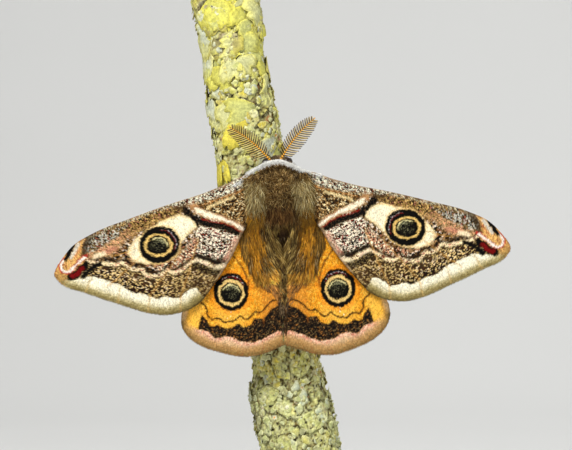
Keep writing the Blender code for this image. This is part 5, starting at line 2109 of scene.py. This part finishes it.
        # Grains of many tints, pinholes painted dark as shade, and small cups with an orange floor.
        low_down = 1 - high
        cupped = smooth(0.86, 0.88, cup_owner)
        lay((0.35 + 0.35 * low_down) * smooth(0.2, 0.22, owner4) * fall(0.4, 0.6, owner4),
            rgb(224, 224, 150))
        lay((0.3 + 0.35 * low_down) * smooth(0.6, 0.62, owner4) * fall(0.76, 0.78, owner4),
            rgb(236, 236, 180))
        lay(0.5 * low_down * smooth(0.84, 0.86, owner4), rgb(150, 128, 60))
        lay(smooth(0.93, 0.94, owner4) * fall(0.5, 0.8, near4), rgb(40, 32, 20))
        lay(cupped * fall(0.26, 0.30, cup), rgb(244, 242, 206))
        lay(cupped * fall(0.13, 0.17, cup), rgb(226, 156, 40))
        height = height + 0.12 * cupped * smooth(0.12, 0.17, cup) * fall(0.26, 0.32, cup)
        lay(smooth(0.0, 0.06, 0.06 - owner3) * fall(0.2, 0.4, near3), rgb(140, 74, 58))
        pits = smooth(0.6, 0.85, hollow) * smooth(0.2, 0.5, fine_hollow)
        height = height - 0.4 * pits
        colour = colour * rng.uniform(0.8, 1.15, (*z.shape, 1))
        return height, colour

    def build(self) -> bpy.types.Mesh:
        """The bark's mesh: rings up the branch, moved in and out by the cover's
        height, with a domed cut at both ends.

        Returns:
            The mesh with its colours.
        """
        z, turn = np.meshgrid(np.linspace(self.foot, self.top, self.rows),
                              ring_turns(self.around), indexing="ij")
        height, colour = self.cover(self.point(z, turn))
        ends = smooth(0.0, 0.5, np.minimum(z - self.foot, self.top - z))
        points = self.point(z, turn, (height - self.sunk) * ends - 0.3 * (1 - ends))
        rings = [points.reshape(-1, 3)]
        inks = [colour.reshape(-1, 3)]
        caps = []
        start = self.rows * self.around
        at, ahead = np.arange(self.around), (np.arange(self.around) + 1) % self.around
        sheet = halved(grid_faces(self.rows, self.around, round_columns=True))
        for end, row in ((0, 0), (1, self.rows - 1)):
            previous = row * self.around
            for share in (0.93, 0.8, 0.6, 0.35, 0.1):
                level = points[row].mean(0)
                ring = level + (points[row] - level) * share
                wood = 0.06 * np.sin(share * 60) * np.ones(self.around)
                ring[:, 2] += (0.05 if end == 0 else -0.05) + 0.3 * wood * (share < 0.9)
                ring[:, 2] = np.clip(ring[:, 2], self.foot, self.top)
                rings.append(ring)
                tint = rgb(126, 96, 62) if share < 0.9 else rgb(74, 60, 44)
                inks.append(np.tile(tint, (self.around, 1)) * (1 + 0.3 * np.sin(share * 40)))
                step = [np.stack([previous + at, start + at, start + ahead], -1),
                        np.stack([previous + at, start + ahead, previous + ahead], -1)]
                caps += [x if end == 0 else x[:, ::-1] for x in step]
                previous = start
                start += self.around
            caps.append(np.stack([previous + at, np.full(self.around, start),
                                  previous + ahead], -1)[:, ::1 if end == 0 else -1])
            rings.append(points[row].mean(0)[None] + [0, 0, 0.03 if end == 0 else -0.03])
            inks.append(np.array([rgb(90, 66, 44)]))
            start += 1
        mesh = fast_mesh("bark", np.concatenate(rings) * MM, np.concatenate([sheet, *caps]))
        give_colour(mesh, np.concatenate(inks))
        return mesh

    def lobe_tints(self, rng: np.random.Generator, z: Array) -> Array:
        """One of six tints for each lobe: yellow more often high up and just under the
        wings, and all of them paler and greener at the foot.

        Args:
            rng: The seeded source.
            z: The lobes' heights.

        Returns:
            Rows of linear red, green and blue.
        """
        tints = np.array([rgb(232, 228, 116), rgb(218, 220, 138), rgb(232, 232, 168),
                          rgb(240, 222, 92), rgb(178, 168, 116), rgb(226, 232, 206)])
        high_up = smooth(48, 60, z)
        under_wings = smooth(19.0, 22.0, z) * (1 - high_up)
        chance = np.stack([0.1 + 1.2 * high_up + 0.5 * under_wings, 1.0 - 0.4 * high_up,
                           0.9 - 0.3 * high_up, 0.1 + 0.3 * high_up + 0.5 * under_wings,
                           0.3 + 0 * z, 0.7 - 0.2 * high_up - 0.4 * under_wings], -1)
        chance = np.cumsum(chance / chance.sum(-1, keepdims=True), -1)
        kind = (rng.random((len(z), 1)) > chance).sum(-1)
        low_down = smooth(22.5, 19.0, z)[:, None]
        tint = tints[np.minimum(kind, 5)] * (1 - 0.35 * low_down)
        return tint + 0.35 * low_down * np.array(rgb(206, 224, 166))

    def lobes(self, name: str, count: int, size: tuple[float, float], lift: float,
              seed: int, lobed: bool) -> bpy.types.Mesh:
        """Leafy lichen: small fans that grow over the bark, lifted and waved at their
        rims. Each is a closed sheet over a grid of along and across.

        Args:
            name: Name of the mesh.
            count: How many.
            size: Shortest and longest fan in millimetres.
            lift: How far a rim stands off.
            seed: Seed of this set.
            lobed: Broad leaves with scalloped rims that hang down, mostly high up.

        Returns:
            The lobes' mesh.
        """
        rng = np.random.default_rng(seed)
        z = rng.uniform(self.foot + 1.5, self.top - 2.0, count)
        if lobed:
            z = self.top - 1.5 - 30.0 * rng.random(count) ** 1.15
        turn = rng.uniform(-math.pi, math.pi, count)
        out = np.stack([np.sin(turn), -np.cos(turn), 0 * turn], -1)
        round_ = np.stack([np.cos(turn), np.sin(turn), 0 * turn], -1)
        up = np.cross(out, round_)
        angle = rng.uniform(0, 2 * math.pi, count)[:, None]
        if lobed:
            angle = rng.normal(-math.pi / 2, 0.7, count)[:, None]
        ahead = np.cos(angle) * round_ + np.sin(angle) * up
        across = np.cross(out, ahead)
        long = rng.uniform(*size, count)[:, None, None]
        wide = long * rng.uniform(0.5, 0.85, (count, 1, 1))
        # A leaf near the top stays under the cut.
        above = np.abs(np.cos(angle)) * wide[..., 0] + np.maximum(np.sin(angle), 0) * long[..., 0]
        z = np.minimum(z, self.top - 0.5 - above[:, 0])
        base = self.point(z, turn, -self.sunk + 0.12)
        steps, spans = (5, 17) if lobed else (3, 5)
        s = np.linspace(0, 1, steps)[None, :, None]
        t = np.linspace(-1, 1, spans)[None, None, :]
        phase = rng.uniform(0, 2 * math.pi, (count, 1, 1))
        reach = s * (1 - 0.22 * t**2 + 0.12 * np.sin(4.2 * t + phase) * s)
        if lobed:
            reach = reach + s**2 * (0.08 * np.sin(10.5 * t + 2.3 * phase)
                                    + 0.05 * np.sin(19.0 * t + 3.1 * phase))
        spread = t * (0.25 + 0.75 * np.sin(np.pi / 2 * np.minimum(1.25 * s, 1)))
        spread = spread + 0.06 * np.sin(7 * s + phase) * s
        high = (0.15 + lift * s**2.2 + 0.1 * s**2 * np.sin(5 * t + 2 * phase)
                + 0.12 * np.abs(t) ** 3 * s)
        if lobed:
            high = high + 0.09 * s**3 * np.sin(13.0 * t + phase)
        thick = 0.07 + 0.03 * (1 - s) + 0 * t
        curve = -((long * reach) ** 2 * np.cos(angle[:, :, None]) ** 2
                  + (wide * spread) ** 2) / (2 * self.usual_radius)

        def sheet(level: Array, most: float) -> Array:
            """Points of one side of the fans, kept near the bark.

            Args:
                level: Heights over the bark.
                most: How far outside the solid's skin a point may lie.

            Returns:
                Rows of x, y and z for each fan.
            """
            points = (base[:, None, None]
                      + (long * reach)[..., None] * ahead[:, None, None]
                      + (wide * spread)[..., None] * across[:, None, None]
                      + (level + curve)[..., None] * out[:, None, None])
            beside, before, height = points[..., 0], points[..., 1], points[..., 2]
            beside = beside - self.middle(height)
            solid = self.point(height, np.arctan2(beside, -before))
            limit = np.hypot(solid[..., 0] - self.middle(height), solid[..., 1]) + most
            share = np.minimum(1.0, limit / np.hypot(beside, before))
            return np.stack([self.middle(height) + beside * share, before * share, height], -1)

        rim = 1 - 0.8 * np.maximum(np.abs(t) ** 6, s**8)
        top, low = sheet(high + thick * rim, 0.5), sheet(high - thick * rim * 0.5, 0.42)
        verts = np.concatenate([top.reshape(count, -1, 3), low.reshape(count, -1, 3)], 1)
        grid = grid_faces(steps, spans)
        total = steps * spans
        ring = border_of(steps, spans)
        ahead_of = np.roll(ring, -1)
        wall = np.stack([ahead_of, ahead_of + total, ring + total, ring], -1)
        one = np.concatenate([grid[:, ::-1], grid + total, wall])
        mesh = fast_mesh(name, verts.reshape(-1, 3) * MM, copies(one, count, 2 * total))
        tint = self.lobe_tints(rng, z)[:, None, None]
        edge = np.clip(np.maximum(np.abs(t) ** 4, s**5), 0, 1)[..., None]
        border = rgb(248, 236, 92) if lobed else rgb(244, 242, 186)
        ink = tint * (0.8 + 0.2 * s[..., None]) * (1 - edge * 0.6) + edge * 0.6 * np.array(border)
        ink = ink * rng.uniform(0.78, 1.12, (count, steps, spans, 1))
        under = np.broadcast_to(np.array(rgb(190, 182, 116)), ink.shape)
        give_colour(mesh, np.stack([ink, under], 1).reshape(-1, 3))
        return mesh

    def dress(self) -> None:
        """Shows the bark and the lichen's lobes."""
        finish = material_of(self.finish)
        Piece("bark", self.build(), finish, "bark", ("perch_branch",)).show()
        Piece("lichen_leaves", self.lobes("lichen_leaves", 128, (2.0, 4.6), 0.15, 61, True),
              finish, "bark").show()
        Piece("lichen_scales", self.lobes("lichen_scales", 1600, (0.45, 1.1), 0.14, 62, False),
              finish, "bark").show()


# A direction that no stretch of a leg follows, to measure turns round it from.
ACROSS_LEG = (0.3, 0.2, 1.0)


@dataclass
class Leg:
    """A leg: thigh, shin and a foot of five joints with two claws, under short fur."""

    pair: str
    side: Side
    branch: Branch
    seed: int
    rings: int = 90
    tufts: int = 1500

    @property
    def name(self) -> str:
        """The solid that this leg stands for."""
        return f"leg_{self.pair}_{self.side.word}"

    def path(self) -> Array:
        """Where the leg goes, from the breast to the claws on the branch."""
        roots = {"front": (1.1, 2.1), "middle": (1.5, -0.2), "hind": (1.3, -2.4)}
        knees = {"front": (3.4, -6.9, 3.0), "middle": (3.7, -6.4, 0.4), "hind": (3.7, -6.3, -3.6)}
        feet = {"front": (0.4, 2.7), "middle": (-2.4, -3.9), "hind": (-6.2, -8.6)}
        turns = {
            Side.LEFT: {"front": -26, "middle": -58, "hind": -38},
            Side.RIGHT: {"front": 48, "middle": 74, "hind": 60},
        }
        sign = self.side.value
        u, w = roots[self.pair]
        belly = -9.6 + 3.1 * math.sqrt(1 - (u / 3.7) ** 2 - ((w + 0.2) / 4.2) ** 2)
        hip = np.array([sign * u, belly + 0.1, w])
        knee = np.array(knees[self.pair])
        knee[0] = sign * (knee[0] + (1.3 if self.side is Side.LEFT else 0.2))
        heel, toe = feet[self.pair]
        turn = math.radians(turns[self.side][self.pair])
        share = np.array([0.0, 0.35, 1.0])
        z = POSE.z + heel + (toe - heel) * share
        off = 0.42 + np.array([0.9, 0.12, 0.0])
        foot = POSE.back(self.branch.point(z, np.full(3, turn), off) * MM)
        shin = (knee + foot[0]) / 2 + [sign * 0.25, 0, 0]
        return np.array([hip, (hip + knee) / 2 + [0, 0.3, 0], knee, shin, *foot])

    def build_horn(self, path: Array) -> bpy.types.Mesh:
        """The leg's horn: a tube drawn in at the knee and between the foot's joints.

        Args:
            path: Points close together along the leg.

        Returns:
            The horn's mesh.
        """
        share = np.linspace(0, 1, len(path))
        radius = 0.36 + (0.15 - 0.36) * np.minimum(share * 1.35, 1.0)
        toes = fall(0.0, 0.25, np.abs((share * 22) % 1.0 - 0.5)) * smooth(0.72, 0.75, share)
        radius = radius * (1 - 0.25 * toes) * (1 - 0.3 * np.exp(-((share - 0.36) / 0.02) ** 2))
        radius[[0, -1]] = [0.1, 0.05]
        ink = np.tile(np.array(rgb(104, 70, 48)), (len(path), 1)) * (1 - 0.4 * toes[:, None])
        return tubes(self.name + "_horn", path[None], radius[None], np.array([ACROSS_LEG]),
                     ink[None], 12)

    def build_claws(self, path: Array) -> bpy.types.Mesh:
        """Two claws that spread from the foot's end and bend into the bark.

        Args:
            path: Points close together along the leg.

        Returns:
            The claws' mesh.
        """
        ahead = unit(path[-1] - path[-4])
        world = POSE.place(path[-1]) / MM
        inward = unit(np.array([self.branch.middle(world[2]) - world[0], -world[1], 0.0]))
        inward = unit(POSE.back((world + inward) * MM) - path[-1])
        across = unit(np.cross(ahead, inward))
        steps = np.linspace(0, 1, 8)[:, None]
        claws = np.array([
            path[-1] - 0.1 * ahead + steps * 0.42 * ahead + sign * across * (0.05 + 0.16 * steps)
            + inward * 0.42 * steps**2 for sign in (-1, 1)])
        return tubes(self.name + "_claws", claws,
                     np.tile(0.055 * (1 - 0.85 * steps[:, 0]), (2, 1)),
                     np.tile(across, (2, 1)), np.full((2, len(steps), 3), 0.03), 8)

    def build_fur(self, joints: Array) -> bpy.types.Mesh:
        """Short fur all round the leg, thinner and shorter on the foot.

        Args:
            joints: The leg's own few points.

        Returns:
            The fur's mesh.
        """
        rng = np.random.default_rng(self.seed)
        count = self.tufts
        at = rng.uniform(0.02, 0.97, count) ** 1.15
        root = through(joints, at)
        along = unit(through(joints, np.minimum(at + 0.01, 1)) - root)
        turn = rng.uniform(0, 2 * math.pi, (count, 1))
        side = unit(np.cross(along, ACROSS_LEG))
        out = side * np.cos(turn) + np.cross(along, side) * np.sin(turn)
        thin = 1 - 0.62 * smooth(0.55, 0.8, at)
        reach = (0.36 - 0.21 * np.minimum(at * 1.35, 1.0))[:, None]
        fur = np.array(rgb(142, 100, 72)) * rng.uniform(0.6, 1.25, (count, 1))
        # Roots painted dark as shade against the leg, tips lighter as a painted highlight.
        return Strands(
            roots=root + out * reach * 0.85, ahead=unit(along + 0.5 * out),
            lean=unit(along + 0.05 * out), out=out,
            length=rng.uniform(0.5, 0.85, count) * thin, width=0.11 * thin,
            root_colour=fur * 0.6, tip_colour=fur * 1.15,
            unwrap=np.stack([turn[:, 0] / 6.4, at], -1) * 0.99,
        ).build(self.name + "_fur")

    def dress(self) -> None:
        """Shows the leg's horn, its claws and its fur."""
        joints = self.path()
        path = through(joints, np.linspace(0, 1, self.rings))
        horn, fur = material_of(Chitin("leg_horn")), material_of(Hair("leg_hair"))
        name = self.name
        Piece(name + "_horn", self.build_horn(path), horn, "leg_fur", (name,)).show()
        Piece(name + "_claws", self.build_claws(path), horn, "leg_fur").show()
        Piece(name + "_fur", self.build_fur(joints), fur, "leg_fur").show()


@dataclass
class Stand:
    """The plain display stand: the solid base and rod, with their own finishes."""

    def dress(self) -> None:
        """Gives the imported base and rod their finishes."""
        for node, finish in (("stand_base", StainedWood("stained_wood")),
                             ("stand_rod", BrushedSteel("brushed_steel"))):
            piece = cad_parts[node]
            piece.data.materials.clear()
            piece.data.materials.append(material_of(finish))


@dataclass
class Studio:
    """Floor, backdrop, lights and camera."""

    eye: tuple[float, float, float] = (-1.896, -410.5, 43.0)
    lens: float = 187.2
    half_width: float = 1300.0
    near: float = -900.0
    bend_from: float = 250.0
    bend: float = 250.0
    height: float = 1100.0

    def build_floor(self) -> None:
        """Shows a floor that sweeps up into a backdrop on a quarter circle."""
        turn = np.linspace(0, math.pi / 2, 24)
        profile = np.concatenate([
            [[self.near, 0.0], [self.bend_from - 50.0, 0.0]],
            np.stack([self.bend_from + self.bend * np.sin(turn),
                      self.bend * (1 - np.cos(turn))], -1),
            [[self.bend_from + self.bend, self.height]],
        ])
        x = np.array([-self.half_width, self.half_width])
        verts = np.stack(np.broadcast_arrays(x[:, None], profile[None, :, 0],
                                             profile[None, :, 1]), -1).reshape(-1, 3)
        mesh = fast_mesh("floor", verts * MM, grid_faces(2, len(profile))[:, ::-1])
        made = bpy.data.objects.new("floor", mesh)
        bpy.context.scene.collection.objects.link(made)
        made.data.materials.append(material_of(PalePaint("pale_paint")))

    def add_light(self, name: str, place: tuple[float, float, float], size: float,
                  power: float, colour: Colour) -> None:
        """Adds an area light that faces the moth.

        Args:
            name: The light's name.
            place: Where it stands, in metres.
            size: Its disk's width in metres.
            power: Its power in watts.
            colour: Its colour.
        """
        data = bpy.data.lights.new(name, "AREA")
        data.shape, data.size, data.energy, data.color = "DISK", size, power, colour
        lamp = bpy.data.objects.new(name, data)
        lamp.location = Vector(place)
        away = Vector(place) - Vector((0.0, -0.01, 0.044))
        lamp.rotation_euler = away.to_track_quat("Z", "Y").to_euler()
        bpy.context.scene.collection.objects.link(lamp)

    def dress(self) -> None:
        """Sets floor, lights, world and camera."""
        self.build_floor()
        self.add_light("key", (-0.16, -0.42, 0.40), 0.24, 3.0, (1.0, 0.98, 0.94))
        self.add_light("fill", (0.45, -0.40, 0.12), 0.45, 1.0, (0.95, 0.97, 1.0))
        self.add_light("back", (0.12, 0.30, 0.40), 0.30, 0.8, (1.0, 1.0, 1.0))
        world = bpy.data.worlds.new("studio")
        world.use_nodes = True
        world.node_tree.nodes["Background"].inputs["Color"].default_value = (0.9, 0.93, 1, 1)
        world.node_tree.nodes["Background"].inputs["Strength"].default_value = 0.30
        scene = bpy.context.scene
        scene.world = world
        scene.view_settings.view_transform = "Standard"
        data = bpy.data.cameras.new("camera")
        data.lens, data.sensor_width = self.lens, 36.0
        data.clip_start, data.clip_end = 0.01, 10.0
        camera = bpy.data.objects.new("camera", data)
        camera.location = Vector(self.eye) * MM
        camera.rotation_euler = (math.pi / 2, 0.0, 0.0)
        scene.collection.objects.link(camera)
        scene.camera = camera


def main() -> None:
    """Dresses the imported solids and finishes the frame."""
    logging.basicConfig(level=logging.INFO, format="%(name)s %(message)s")
    branch = Branch()
    branch.dress()
    Stand().dress()
    BodyCoat(BodySkin()).dress()
    centres = {
        Side.RIGHT: ((16.7, -4.5), (7.25, -12.2)),
        Side.LEFT: ((16.45, -4.9), (7.15, -12.1)),
    }
    for k, side in enumerate(Side):
        fore, hind = centres[side]
        Wing(fore_shape(side), fore, 325, 135, 100 + k, "fore_scales").dress()
        Wing(hind_shape(side), hind, 215, 165, 200 + k, "hind_scales").dress()
        WingHair(hind_shape(side), 300 + k).dress()
        WingHair(fore_shape(side), 320 + k).dress()
        Feeler(side, 400 + k).dress()
        Eye(side).dress()
        for j, pair in enumerate(("front", "middle", "hind")):
            Leg(pair, side, branch, 500 + 10 * k + j).dress()
    Studio().dress()


if __name__ == "__main__":
    main()
